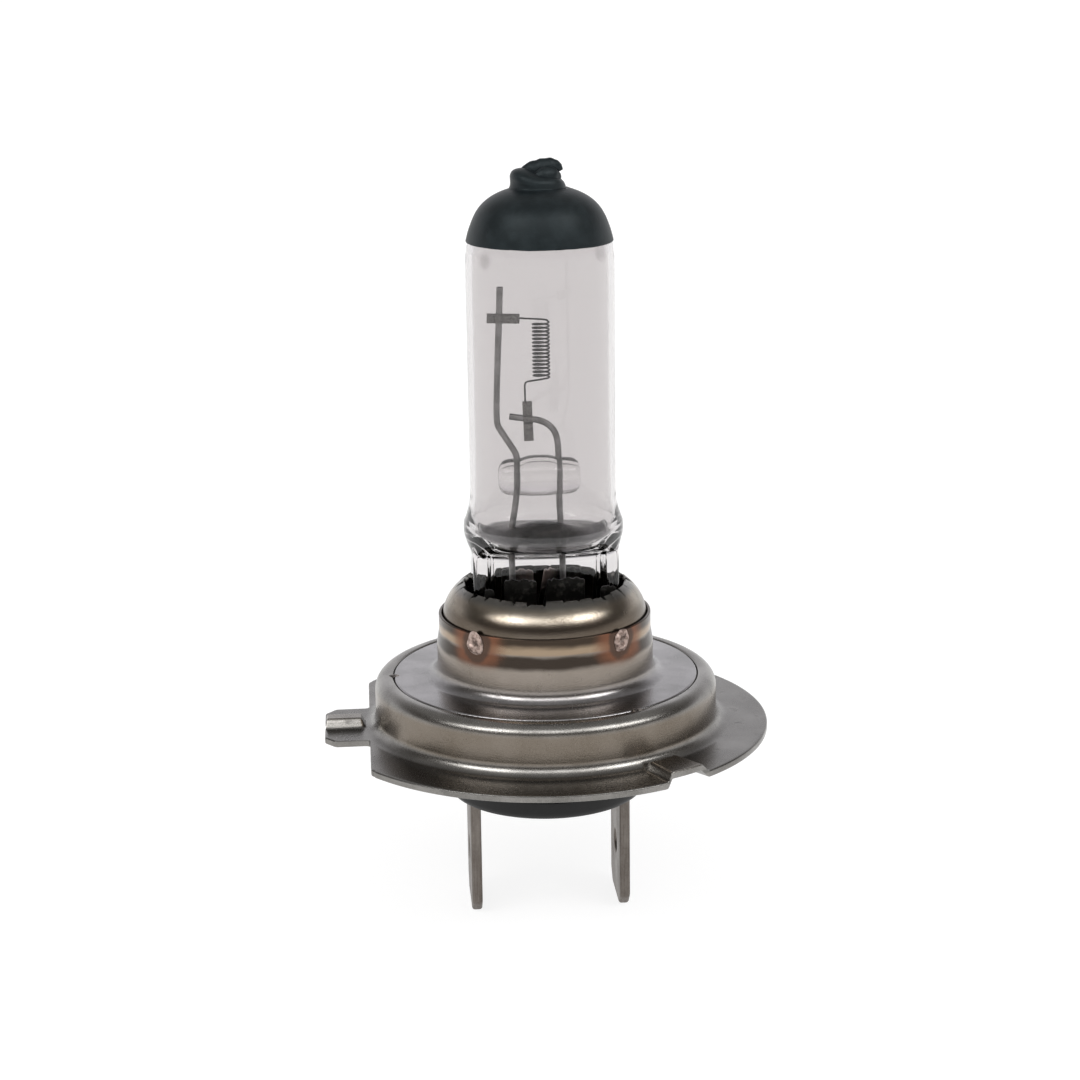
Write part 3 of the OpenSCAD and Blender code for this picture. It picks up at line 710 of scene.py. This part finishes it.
foil = Finish("pressed_foil", {"Metallic": 1.0})
dents = foil.place.grain(0.12, 3.0)
foil.feed("Base Color", dents.step(0.3, 0.7).blend((0.15, 0.142, 0.135, 1), (0.3, 0.288, 0.275, 1)))
foil.feed("Roughness", 0.35 + 0.3 * dents)
foil.relief(dents, 0.02)
run, depth, side = folded_strip(-0.9, 1.5, 1.0)
tilt = -0.035
upper_strip = np.stack([-3.06 + run - side * tilt, -depth, 30.25 + side + run * tilt], -1)
upper_clamp = skin("upper_filament_clamp", (upper_strip, False, False))
fit(upper_clamp, foil.material, "upper_filament_clamp")
run, depth, side = folded_strip(-1.6, 1.35, 2.0)
lower_strip = np.stack([-1.05 + side + run * tilt, -depth, 22.66 + run - side * tilt], -1)
lower_clamp = skin("lower_filament_clamp", (lower_strip, False, False))
fit(lower_clamp, foil.material, "lower_filament_clamp")


# ---- pinch clamp ----
# A cup of thin spring steel under the collar, pressed up round the pinch, whose cut lips grip
# the glass. It has gone dark from the welding heat.

CLAMP_R = 7.35
CLAMP_T = 0.3
CLAMP_LOW = 4.81
CLAMP_TOP = 7.41


def clamp_cup():
    """A ring with an inner lip that follows the pinch at a small gap: the same section goes round,
    and its inner radius is the distance from the axis to the pinch's outline at each angle."""
    outline, _ = pinch_outline()
    a = np.arctan2(outline[:, 1], outline[:, 0])
    reach = np.linalg.norm(outline, axis=1) + 0.06
    section = soft_corners(
        [
            [0, CLAMP_TOP - CLAMP_T], [1, CLAMP_TOP - CLAMP_T], [1, CLAMP_LOW], [2, CLAMP_LOW],
            [2, CLAMP_TOP], [0, CLAMP_TOP],
        ],
        0.05,
        3,
    )
    u, z = section[:, :1], section[:, 1:]
    near = np.clip(u, 0, 1)
    thick = np.clip(u - 1, 0, 1)
    r = reach * (1 - near) + (CLAMP_R - CLAMP_T) * near + CLAMP_T * thick
    return np.stack([r * np.cos(a), r * np.sin(a), z + 0 * a], -1)


def lip(x0, x1, lean, top, depth, seed):
    """A cut lip against the web: a thin upright plate whose outline is a rounded rectangle with a
    torn top edge, closed to its middle at both faces."""
    corners = [[x0, CLAMP_TOP - 0.2], [x1, CLAMP_TOP - 0.2], [x1, top], [x0 + lean, top]]
    outline = along_outline(soft_corners(corners, [0.05, 0.05, 0.18, 0.18]), 160)
    torn = np.clip((outline[:, 1] - top + 0.3) / 0.3, 0, 1)
    outline[:, 1] += torn * 0.13 * waves(outline[:, 0] * 2.1, seed, 12)
    middle = np.array([(x0 + x1) / 2, (CLAMP_TOP + top) / 2])
    size = np.array([0, 0.97, 1, 1, 0.97, 0])[:, None, None]
    y = np.array([0, 0, 0.06, CLAMP_T - 0.06, CLAMP_T, CLAMP_T])
    flat = middle + (outline - middle) * size
    bend = 0.12 * np.sin(flat[..., 0] * 1.7 + seed) * np.clip((flat[..., 1] - CLAMP_TOP) / 3, 0, 1)
    away = math.copysign(1, depth) * (abs(depth) + 0.08 + y[:, None] + np.abs(bend))
    return np.stack([flat[..., 0], away, flat[..., 1]], -1)


lips = []
for lip_side in (-1, 1):
    lips.append((lip(-3.25, -0.75, 0.1, 10.85, lip_side * WEB_Y, 3), False, False))
    lips.append((lip(-0.6, 2.9, 0.7, 10.85, lip_side * WEB_Y, 7), False, False))
    lips.append((lip(-5.1, -3.95, 0.5, 10.45, lip_side * RIB_Y, 11), False, False))
    lips.append((lip(3.8, 5.1, 0.2, 10.35, lip_side * RIB_Y, 13), False, False))
clamp = skin("pinch_clamp", (clamp_cup(), True, False), *lips)
scorched = Finish("scorched_spring_steel", {"Metallic": 1.0})
scale = scorched.place.grain(0.5, 5.0)
soot = scorched.place.grain(0.12, 3.0)
black = scale.step(0.5, 0.8).blend((0.03, 0.029, 0.027, 1), (0.14, 0.135, 0.12, 1))
# A paler pinkish patch near the top of the far-side lips.
pale_patch = scorched.place.part(1).step(1.5, 1.7) * scorched.place.away((-0.7, 2.0, 11.2)).step(2.1, 1.3)
scorched.feed("Base Color", pale_patch.blend(black, (0.5, 0.42, 0.39, 1)))
scorched.feed("Roughness", 0.25 + 0.35 * soot)
scorched.relief(scale * 0.7 + soot * 0.3, 0.09)
fit(clamp, scorched.material, "pinch_clamp")


# ---- collar ----
# A thin steel ring drawn into a soft dome, slit round its mouth so that it closes on the
# clamp. The slit edge is rough, and the drawing leaves a satin skin.

COLLAR_R = 7.75
COLLAR_T = 0.35
COLLAR_FOOT = 3.76
DOME_CENTRE = (4.55, 7.41)
DOME_ARC = 3.2
MOUTH_ANGLE = 59.9
TEETH = 34


def collar_surface():
    """A ring section that goes up the wall, over the dome's arc to the mouth, and back inside it
    at the sheet's thickness. The arc ends at an angle that jumps between teeth and slits as the
    section goes round, and each tooth is bent up or down by its own small amount."""
    a = np.linspace(0, 2 * math.pi, 900, endpoint=False)
    draw = np.random.default_rng(12)
    place = a / (2 * math.pi) * TEETH
    place = place + 0.35 * waves(a, 31, 9)
    tooth = np.floor(place).astype(int) % TEETH
    inside = place - np.floor(place)
    length = draw.uniform(-3.0, 2.2, TEETH)[tooth]
    slit = np.where(np.minimum(inside, 1 - inside) < draw.uniform(0.03, 0.12, TEETH)[tooth], -8, 0)
    deep = draw.uniform(0.2, 1, TEETH)[tooth]
    end = MOUTH_ANGLE + length + slit * deep + 0.8 * waves(a, 33, 60)
    bent = draw.uniform(-0.07, 0.07, TEETH)[tooth]
    share = 1 - (1 - np.linspace(0, 1, 26)) ** 1.3
    share = share[:, None]
    dome = np.radians(share * end)
    curl = bent * np.clip((share * end - 45) / 15, 0, 1)
    out_r = DOME_CENTRE[0] + (DOME_ARC + curl) * np.cos(dome)
    out_z = DOME_CENTRE[1] + (DOME_ARC + curl) * np.sin(dome)
    in_r = DOME_CENTRE[0] + (DOME_ARC - COLLAR_T + curl) * np.cos(dome)
    in_z = DOME_CENTRE[1] + (DOME_ARC - COLLAR_T + curl) * np.sin(dome)
    one = np.ones_like(a)
    foot = soft_corners(
        [
            [COLLAR_R - COLLAR_T, 6], [COLLAR_R - COLLAR_T, COLLAR_FOOT],
            [COLLAR_R, COLLAR_FOOT], [COLLAR_R, 6],
        ],
        [0, 0.1, 0.1, 0],
        4,
    )
    foot_r, foot_z = foot[:, :1] * one, foot[:, 1:] * one
    lip_r = (out_r[-1:] * 0.5 + in_r[-1:] * 0.5) - 0.04
    lip_z = (out_z[-1:] * 0.5 + in_z[-1:] * 0.5) + 0.02
    r = np.concatenate([foot_r, out_r, lip_r, in_r[::-1]])
    z = np.concatenate([foot_z, out_z, lip_z, in_z[::-1]])
    return np.stack([r * np.cos(a), r * np.sin(a), z], -1)


def steel(name, bright, dull, rings=0.5, rough=0.3):
    """Satin stamped steel: cloudy patches of two tones, lines round the axis from the drawing die,
    a fine grain, and darker smudges from handling."""
    finish = Finish(name, {"Metallic": 1.0})
    cloud = finish.place.grain(3.2, 4.0)
    lines = finish.place.grain(0.16, 2.0, (9, 9, 1))
    grit = finish.place.grain(0.085, 2.0)
    dark_patch = finish.place.grain(1.3, 3.0).step(0.62, 0.8)
    colour = (cloud * 0.6 + grit * 0.4).step(0.32, 0.68).blend(bright, dull)
    colour = (dark_patch * 0.5).blend(colour, tuple(0.45 * c for c in dull[:3]) + (1,))
    roughness = rough + 0.1 * cloud + 0.1 * grit + 0.1 * dark_patch
    height = lines * (0.4 * rings) + grit * 0.6
    return finish, colour, roughness, height


collar = skin("bulb_collar", (collar_surface(), True, False), sharp=50)
collar_steel, colour, roughness, height = steel(
    "satin_collar_steel", (0.34, 0.305, 0.255, 1), (0.19, 0.16, 0.125, 1), 0.5, 0.12
)
z = collar_steel.place.part(2)
# Painted shade: the dome's top near the mouth is darkened to grey, against the bright sky it reflects.
mouth = z.step(9.5, 10.0)
colour = (mouth * 0.85).blend(colour, (0.12, 0.12, 0.115, 1))
# Painted shade: the dome's lower part is darkened to dark brown, standing in for the dark room it reflects
# under the highlight.
low_dome_shade = z.step(9.2, 8.5)
colour = (low_dome_shade * 0.7).blend(colour, (0.075, 0.055, 0.04, 1))
collar_steel.feed("Base Color", colour)
collar_steel.feed("Roughness", roughness)
collar_steel.relief(height, 0.01)
fit(collar, collar_steel.material, "bulb_collar")


# ---- carrier cup ----
# A drawn steel cup with a wide foot that carries the bulb in the drum. The collar is welded
# inside it after the filament is set, so its wall is heat-tinted round the four welds. Its
# warm tint and the two dark bands round it are painted reflection and painted shade.

CUP_R = 8.2
RIM_WALL = 8.03
CUP_INNER = 7.8
CUP_RIM = 7.91
PLATE_TOP = 3.06
PLATE_R = 11.55
WELD_Z = 7.16
WELD_ANGLES = (-134, -50, 46, 130)

cup_section = soft_corners(
    [
        [CUP_INNER, CUP_RIM], [RIM_WALL, CUP_RIM], [RIM_WALL, 6.65], [CUP_R, 5.6], [CUP_R, PLATE_TOP],
        [PLATE_R, PLATE_TOP],
        [PLATE_R, 2.56], [11.95, 2.56], [11.95, 2.06], [CUP_INNER, 2.06],
    ],
    [0.07, 0.08, 0.8, 0.8, 1.0, 0.15, 0.02, 0.05, 0.05, 0.3],
    12,
)
cup = skin("carrier_cup", (turned(cup_section, 360), True, False))
cup_steel, colour, roughness, height = steel(
    "browned_cup_steel", (0.32, 0.31, 0.315, 1), (0.2, 0.195, 0.195, 1), 0.6, 0.14
)
z = cup_steel.place.part(2)
# Painted reflection: the wall above the plate is tinted warm brown, for the warm surroundings it reflects.
wall = z.step(3.2, 4.4)
colour = (wall * 0.75).blend(colour, (0.29, 0.245, 0.2, 1))
gold = z.step(6.6, 6.8)
colour = (gold * 0.75).blend(colour, (0.35, 0.255, 0.165, 1))
# Painted shade: two dark bands round the wall, one at the rim beside the collar and one on the taper below
# it.
uneven = 0.4 * cup_steel.place.grain(0.7, 4.0, (3, 3, 1))
painted_band_shade = (z + uneven).step(7.2, 7.75) + (z + uneven).step(7.0, 6.6) * (z + uneven).step(5.6, 6.1)
colour = (painted_band_shade * 0.94).blend(colour, (0.036, 0.027, 0.021, 1))
heat = None
for weld_angle in WELD_ANGLES:
    a = math.radians(weld_angle)
    near = cup_steel.place.away((RIM_WALL * math.cos(a), RIM_WALL * math.sin(a), WELD_Z))
    heat = near if heat is None else heat.least(near)
heat = heat + 0.8 * cup_steel.place.grain(0.9, 3.0) - 0.4
straw = heat.step(2.9, 1.5) * z.step(5.0, 6.2)
colour = (straw * 0.8).blend(colour, (0.2, 0.088, 0.052, 1))
blue = heat.step(1.55, 1.1) * z.step(4.8, 6.0)
colour = (blue * 0.85).blend(colour, (0.07, 0.05, 0.04, 1))
cup_steel.feed("Base Color", colour)
cup_steel.feed("Roughness", roughness)
cup_steel.relief(height, 0.01)
fit(cup, cup_steel.material, "carrier_cup")


# ---- collar welds ----
# Four spot welds that join cup and collar. Each is a rough crater with a raised, uneven lip,
# pinkish in the middle and burnt round the edge.


def crater(angle, seed):
    """A small disc on the cup's wall in polar form: its height is a ring-shaped ridge as a bell
    curve of the radius, less a pit in the middle, plus uneven waves, and its outline wanders. A
    last row behind the wall closes it."""
    a = np.linspace(0, 2 * math.pi, 72, endpoint=False)[None]
    v = np.linspace(0, 1, 22)[:, None]
    ridge = np.exp(-(((v - 0.6) / 0.26) ** 2)) * (0.75 + 0.45 * waves(a, seed, 7))
    pit = 0.55 * np.exp(-((v / 0.55) ** 2))
    rough = 0.25 * waves(a + v * 5, seed + 1, 12) * v * (1 - v) * 4
    rise = 0.03 + 0.14 * np.clip(ridge - pit * 0.4 + rough, -0.5, 1.0) * (v < 1)
    wide = 0.78 * (1 + 0.1 * waves(a, seed + 2, 6))
    tall = 0.88 * (1 + 0.08 * waves(a, seed + 3, 6))
    across, up = v * wide * np.cos(a), v * tall * np.sin(a)
    across = np.concatenate([across, 0 * a])
    up = np.concatenate([up, 0 * a])
    rise = np.concatenate([rise, 0 * a - 0.3])
    theta = math.radians(angle) + across / RIM_WALL
    r = RIM_WALL + rise
    return np.stack([r * np.cos(theta), r * np.sin(theta), WELD_Z + up], -1)


craters = [(crater(angle, 50 + 7 * i), False, False) for i, angle in enumerate(WELD_ANGLES)]
welds = skin("collar_welds", *craters, sharp=60)
weld_metal = Finish("cratered_weld", {"Metallic": 1.0})
slag = weld_metal.place.grain(0.3, 4.0)
skin_grain = weld_metal.place.grain(0.1, 3.0)
radius = (weld_metal.place.part(0) ** 2 + weld_metal.place.part(1) ** 2) ** 0.5
crest = (radius + 0.05 * slag).step(RIM_WALL + 0.01, RIM_WALL + 0.09)
pinkish = slag.step(0.35, 0.65).blend((0.22, 0.16, 0.135, 1), (0.55, 0.43, 0.38, 1))
weld_metal.feed("Base Color", crest.blend((0.1, 0.08, 0.07, 1), pinkish))
weld_metal.feed("Roughness", 0.3 + 0.3 * skin_grain)
weld_metal.relief(slag * 0.6 + skin_grain * 0.4, 0.08)
fit(welds, weld_metal.material, "collar_welds")


# ---- locating flange ----
# The stamped steel ring that seats the bulb in the lamp: a drum with a rolled shoulder, a
# wide rim with one straight side, an orientation lug with a pressed rib, and two pressed bosses.

DRUM_R = 13.0
DRUM_TOP = 3.06
SHOULDER_ARC = 1.0
ROOT_ARC = 1.0
CORNER_AT = (DRUM_R - SHOULDER_ARC, DRUM_TOP - SHOULDER_ARC)
FLANGE_TOP = -0.7
ROOT_AT = (DRUM_R + ROOT_ARC, FLANGE_TOP + ROOT_ARC)
SHEET = 0.5
RIM_R = 16.9
RIM_EDGE = 0.1
BOSS_H = 0.7
FLAT_X = 13.5
LUG_X = -16.895
LUG_HALF = 3.65
SEAT_R = 11.6


def arc(centre, radius, first, last, count):
    """Points along a circle's arc from one angle to another, in degrees."""
    t = np.radians(np.linspace(first, last, count))[:, None]
    return np.concatenate([centre[0] + radius * np.cos(t), centre[1] + radius * np.sin(t)], 1)


def rise_and_fall(value, start, full, leave, end):
    """0, a smooth rise to 1 from start to full, and a smooth fall from leave to end."""
    up = np.clip((value - start) / (full - start), 0, 1)
    down = np.clip((end - value) / (end - leave), 0, 1)
    return up * up * (3 - 2 * up) * down * down * (3 - 2 * down)


def rim_corners():
    """The part of the rim's outline that isn't its circle, from above: a straight side and the lug
    with its clipped corners, with a small notch where the rib ends."""
    side = math.sqrt(RIM_R**2 - FLAT_X**2)
    lug = [
        [-FLAT_X, side], [-FLAT_X, LUG_HALF], [LUG_X + 0.75, LUG_HALF], [LUG_X, LUG_HALF - 0.9],
        [LUG_X, 1.0], [LUG_X + 0.16, 0.55], [LUG_X + 0.16, -0.55], [LUG_X, -1.0],
        [LUG_X, 0.9 - LUG_HALF], [LUG_X + 0.75, -LUG_HALF], [-FLAT_X, -LUG_HALF], [-FLAT_X, -side],
    ]
    a = np.radians(np.linspace(-143.0, 143.0, 9))[1:-1]
    circle = RIM_R * np.stack([np.cos(a), np.sin(a)], -1)
    radii = [0.5, 0.35, 0.3, 0.3, 0.15, 0.1, 0.1, 0.15, 0.3, 0.3, 0.35, 0.5]
    steps = 8
    corners = soft_corners(np.concatenate([lug, circle]), radii + [0] * len(circle), steps)
    return corners[: (steps + 1) * len(lug)]


def flange_surface():
    """A ring section that goes from the seat's edge over the drum's shoulder, down its wall and out
    to the rim, round the rim and back under the sheet. Outside the drum each column's radius is
    scaled to the rim's outline at its angle, and the sheet is lifted where a boss or rib is."""
    corners = rim_corners()
    step = np.diff(corners, axis=0)
    w = np.linspace(0, 1, 5)[:, None, None]
    dense = (corners[:-1] + w * step).transpose(1, 0, 2).reshape(-1, 2)
    lug_a = np.degrees(np.arctan2(dense[:, 1], dense[:, 0])) % 360
    lug_r = np.linalg.norm(dense, axis=1)
    order = np.argsort(lug_a)
    lug_a, lug_r = lug_a[order], lug_r[order]
    boss = np.arange(48, 70, 0.25)
    rib = np.arange(176, 184, 0.2)
    degrees = np.concatenate([np.arange(0, 360, 0.8), lug_a, boss, 360 - boss, rib])
    degrees = np.unique(np.round(degrees, 3))
    rim = np.interp(degrees, lug_a, lug_r)
    first, last = lug_a[0], lug_a[-1]
    rim = np.where((degrees < first) | (degrees > last), RIM_R, rim)
    a = np.radians(degrees)
    seat = [[SEAT_R, DRUM_TOP - SHEET], [SEAT_R, DRUM_TOP], [CORNER_AT[0], DRUM_TOP]]
    top_edge = soft_corners(seat, [0, 0.16, 0], 4)
    out = np.linspace(0, 1, 18)[1:, None] * (RIM_R - RIM_EDGE - ROOT_AT[0])
    corner = arc(CORNER_AT, SHOULDER_ARC, 90, 0, 18)
    root = arc(ROOT_AT, ROOT_ARC, 180, 270, 16)
    flange = np.concatenate([ROOT_AT[0] + out, 0 * out + FLANGE_TOP], 1)
    edge = arc((RIM_R - RIM_EDGE, FLANGE_TOP - RIM_EDGE), RIM_EDGE, 90, 0, 4)[1:]
    edge_low = edge[::-1] * [1, -1] + [0, 2 * FLANGE_TOP - SHEET]
    under = np.concatenate([ROOT_AT[0] + out[::-1], 0 * out + FLANGE_TOP - SHEET], 1)
    root_low = arc(ROOT_AT, ROOT_ARC + SHEET, 270, 180, 12)
    corner_low = arc(CORNER_AT, SHOULDER_ARC - SHEET, 0, 90, 8)
    section = np.concatenate(
        [top_edge[5:-5], corner, root, flange, edge, edge_low, under, root_low, corner_low]
    )
    pressed = np.zeros(len(section))
    first = len(top_edge[5:-5]) + len(corner)
    pressed[first : len(section) - len(corner_low)] = 1
    r, z = section[:, :1], section[:, 1:]
    root_r = ROOT_AT[0]
    stretch = np.clip((r - root_r) / (RIM_R - root_r), 0, 1)
    r = np.where(r > root_r, root_r + (rim - root_r) * stretch, np.minimum(r, rim - 0.05 + 0 * r))
    turn = degrees - 360 * (degrees > 180)
    lift = rise_and_fall(np.abs(turn), 50.5, 54.0, 62.6, 64.2)
    x, y = r * np.cos(a), r * np.sin(a)
    along_rib = np.clip((-x - 13.75) / 0.45, 0, 1)
    across_rib = rise_and_fall(y, -1.05, -0.45, 0.45, 1.05)
    rib_lift = along_rib * along_rib * (3 - 2 * along_rib) * across_rib * (x < 0)
    outwards = rise_and_fall(r, 13.15, 14.3, 90, 91)
    lifted = BOSS_H * np.maximum(lift[None] * outwards, rib_lift) * pressed[:, None]
    return np.stack([x, y, z + lifted], -1)


flange = skin("reference_flange", (flange_surface(), True, False), sharp=45)
flange_steel, colour, roughness, height = steel(
    "stamped_flange_steel", (0.29, 0.28, 0.265, 1), (0.16, 0.153, 0.143, 1), 0.7, 0.16
)
z = flange_steel.place.part(2)
# Painted reflection: the drum's wall is tinted darker warm brown, for the dark warm surroundings it
# reflects.
wall = z.step(-0.2, 0.3) * z.step(2.6, 2.0)
colour = (wall * 0.65).blend(colour, (0.19, 0.15, 0.11, 1))
rim_face = z.step(-0.4, -0.6) * z.step(-0.82, -0.76)
colour = (rim_face * 0.5).blend(colour, (0.09, 0.087, 0.082, 1))
flange_steel.feed("Base Color", colour)
flange_steel.feed("Roughness", roughness)
flange_steel.relief(height, 0.01)
fit(flange, flange_steel.material, "reference_flange")


# ---- carrier welds ----
# Three small laser tacks across the seam between the carrier's plate and the drum. Each is a
# burnt pit with a splash of bright metal beside it.

TACK_ANGLES = (60, 180, 300)


def tack(angle, seed):
    """A low blob on the seam in polar form: a bell curve of the radius with uneven waves, closed
    by a row below the plate."""
    a = np.linspace(0, 2 * math.pi, 48, endpoint=False)[None]
    v = np.linspace(0, 1, 14)[:, None]
    rise = 0.1 * np.clip(1 - v**2, 0, 1) * (0.6 + 0.5 * waves(a + 3 * v, seed, 8) * v)
    size = 0.38 * (1 + 0.22 * waves(a, seed + 1, 6))
    x = np.concatenate([v * size * np.cos(a), 0 * a]) + SEAT_R
    y = np.concatenate([v * size * np.sin(a), 0 * a])
    z = np.concatenate([DRUM_TOP - 0.01 + np.maximum(rise, -0.01), 0 * a + DRUM_TOP - 0.2])
    c, s = math.cos(math.radians(angle)), math.sin(math.radians(angle))
    return np.stack([x * c - y * s, x * s + y * c, z], -1)


tacks = skin(
    "carrier_welds", *[(tack(angle, 80 + 5 * i), False, False) for i, angle in enumerate(TACK_ANGLES)]
)
burnt = Finish("burnt_tack", {"Metallic": 1.0})
burn = burnt.place.grain(0.2, 4.0)
burnt.feed("Base Color", burn.step(0.42, 0.62).blend((0.03, 0.026, 0.024, 1), (0.4, 0.36, 0.33, 1)))
burnt.feed("Roughness", 0.3 + 0.3 * burn)
burnt.relief(burn, 0.08)
fit(tacks, burnt.material, "carrier_welds")


# ---- studio ----
# A pale floor that glows a little, and two bowed soft boxes over the front of the bulb. The room
# is dark behind the camera and pale behind the bulb, and its low sky is pale all round.


def floor_sheet():
    """A flat disc, 3.6 metres in radius, in rings that widen outwards."""
    r = np.concatenate([[0], np.geomspace(30, 3600, 24)])
    return turned(np.stack([r, 0 * r + BLADE_LOW - 0.02], -1), 96)


floor = skin("floor", (floor_sheet()[::-1], False, False))
pale = Finish(
    "pale_floor",
    {"Roughness": 0.9, "Emission Color": (1, 1, 1, 1), "Emission Strength": 0.86},
)
pale.feed("Base Color", pale.place.grain(60, 2.0).blend((0.21, 0.21, 0.21, 1), (0.2, 0.2, 0.2, 1)))
floor.data.materials.append(pale.material)

world = bpy.data.worlds.new("studio")
world.use_nodes = True
bpy.context.scene.world = world
background = world.node_tree.nodes["Background"]
sky = Tone(world.node_tree, None).node("TexCoord", None, None, 0)
height = sky.part(2).math("MAXIMUM", sky.part(2), 0.02)
across = abs(sky.part(0) / height)
along = sky.part(1) / height
bowed = along - 0.4 * across
boxes = across.step(1.5, 1.15) * bowed.step(-1.5, -1.15) * bowed.step(-0.58, -0.85)
gap = across.step(0.75, 0.4)
far_side = along.step(0.6, 2.4) * sky.part(1).step(0, 0.3)
room = far_side.blend((0.11, 0.1, 0.09, 1), (1.05, 1.04, 1.08, 1))
overhead = (along ** 2 + across ** 2).step(2.2, 0.4)
room = (overhead * 0.35).blend(room, (1, 1, 1, 1))
room = sky.part(2).step(0.26, 0.16).blend(room, (1.05, 1.05, 1.06, 1))
light = (boxes * (1 - 0.6 * gap)).blend(room, (8.0, 8.0, 8.0, 1))
world.node_tree.links.new(light.socket, background.inputs["Color"])

CAMERA_AIM = 13.34
CAMERA_AWAY = 170.0
CAMERA_RISE = math.radians(14.68)
CAMERA_TURN = math.radians(-4.47)
CAMERA_ROLL = math.radians(-0.8)
CAMERA_SIDE = -0.27
back = np.array(
    [
        math.sin(CAMERA_TURN) * math.cos(CAMERA_RISE),
        -math.cos(CAMERA_TURN) * math.cos(CAMERA_RISE),
        math.sin(CAMERA_RISE),
    ]
)
right = np.array([math.cos(CAMERA_TURN), math.sin(CAMERA_TURN), 0])
up = np.cross(back, right)
lens = bpy.data.cameras.new("camera")
lens.sensor_width = 36
lens.lens = 75.296
lens.clip_start = 0.01
lens.clip_end = 10
camera = bpy.data.objects.new("camera", lens)
bpy.context.scene.collection.objects.link(camera)
side = math.cos(CAMERA_ROLL) * right + math.sin(CAMERA_ROLL) * up
top = math.cos(CAMERA_ROLL) * up - math.sin(CAMERA_ROLL) * right
spot = (np.array([0, 0, CAMERA_AIM]) + right * CAMERA_SIDE + back * CAMERA_AWAY) * MM
stand = np.eye(4)
stand[:3, 0], stand[:3, 1], stand[:3, 2], stand[:3, 3] = side, top, back, spot
camera.matrix_world = Matrix(stand.tolist())
bpy.context.scene.camera = camera
bpy.context.scene.view_settings.view_transform = "Standard"
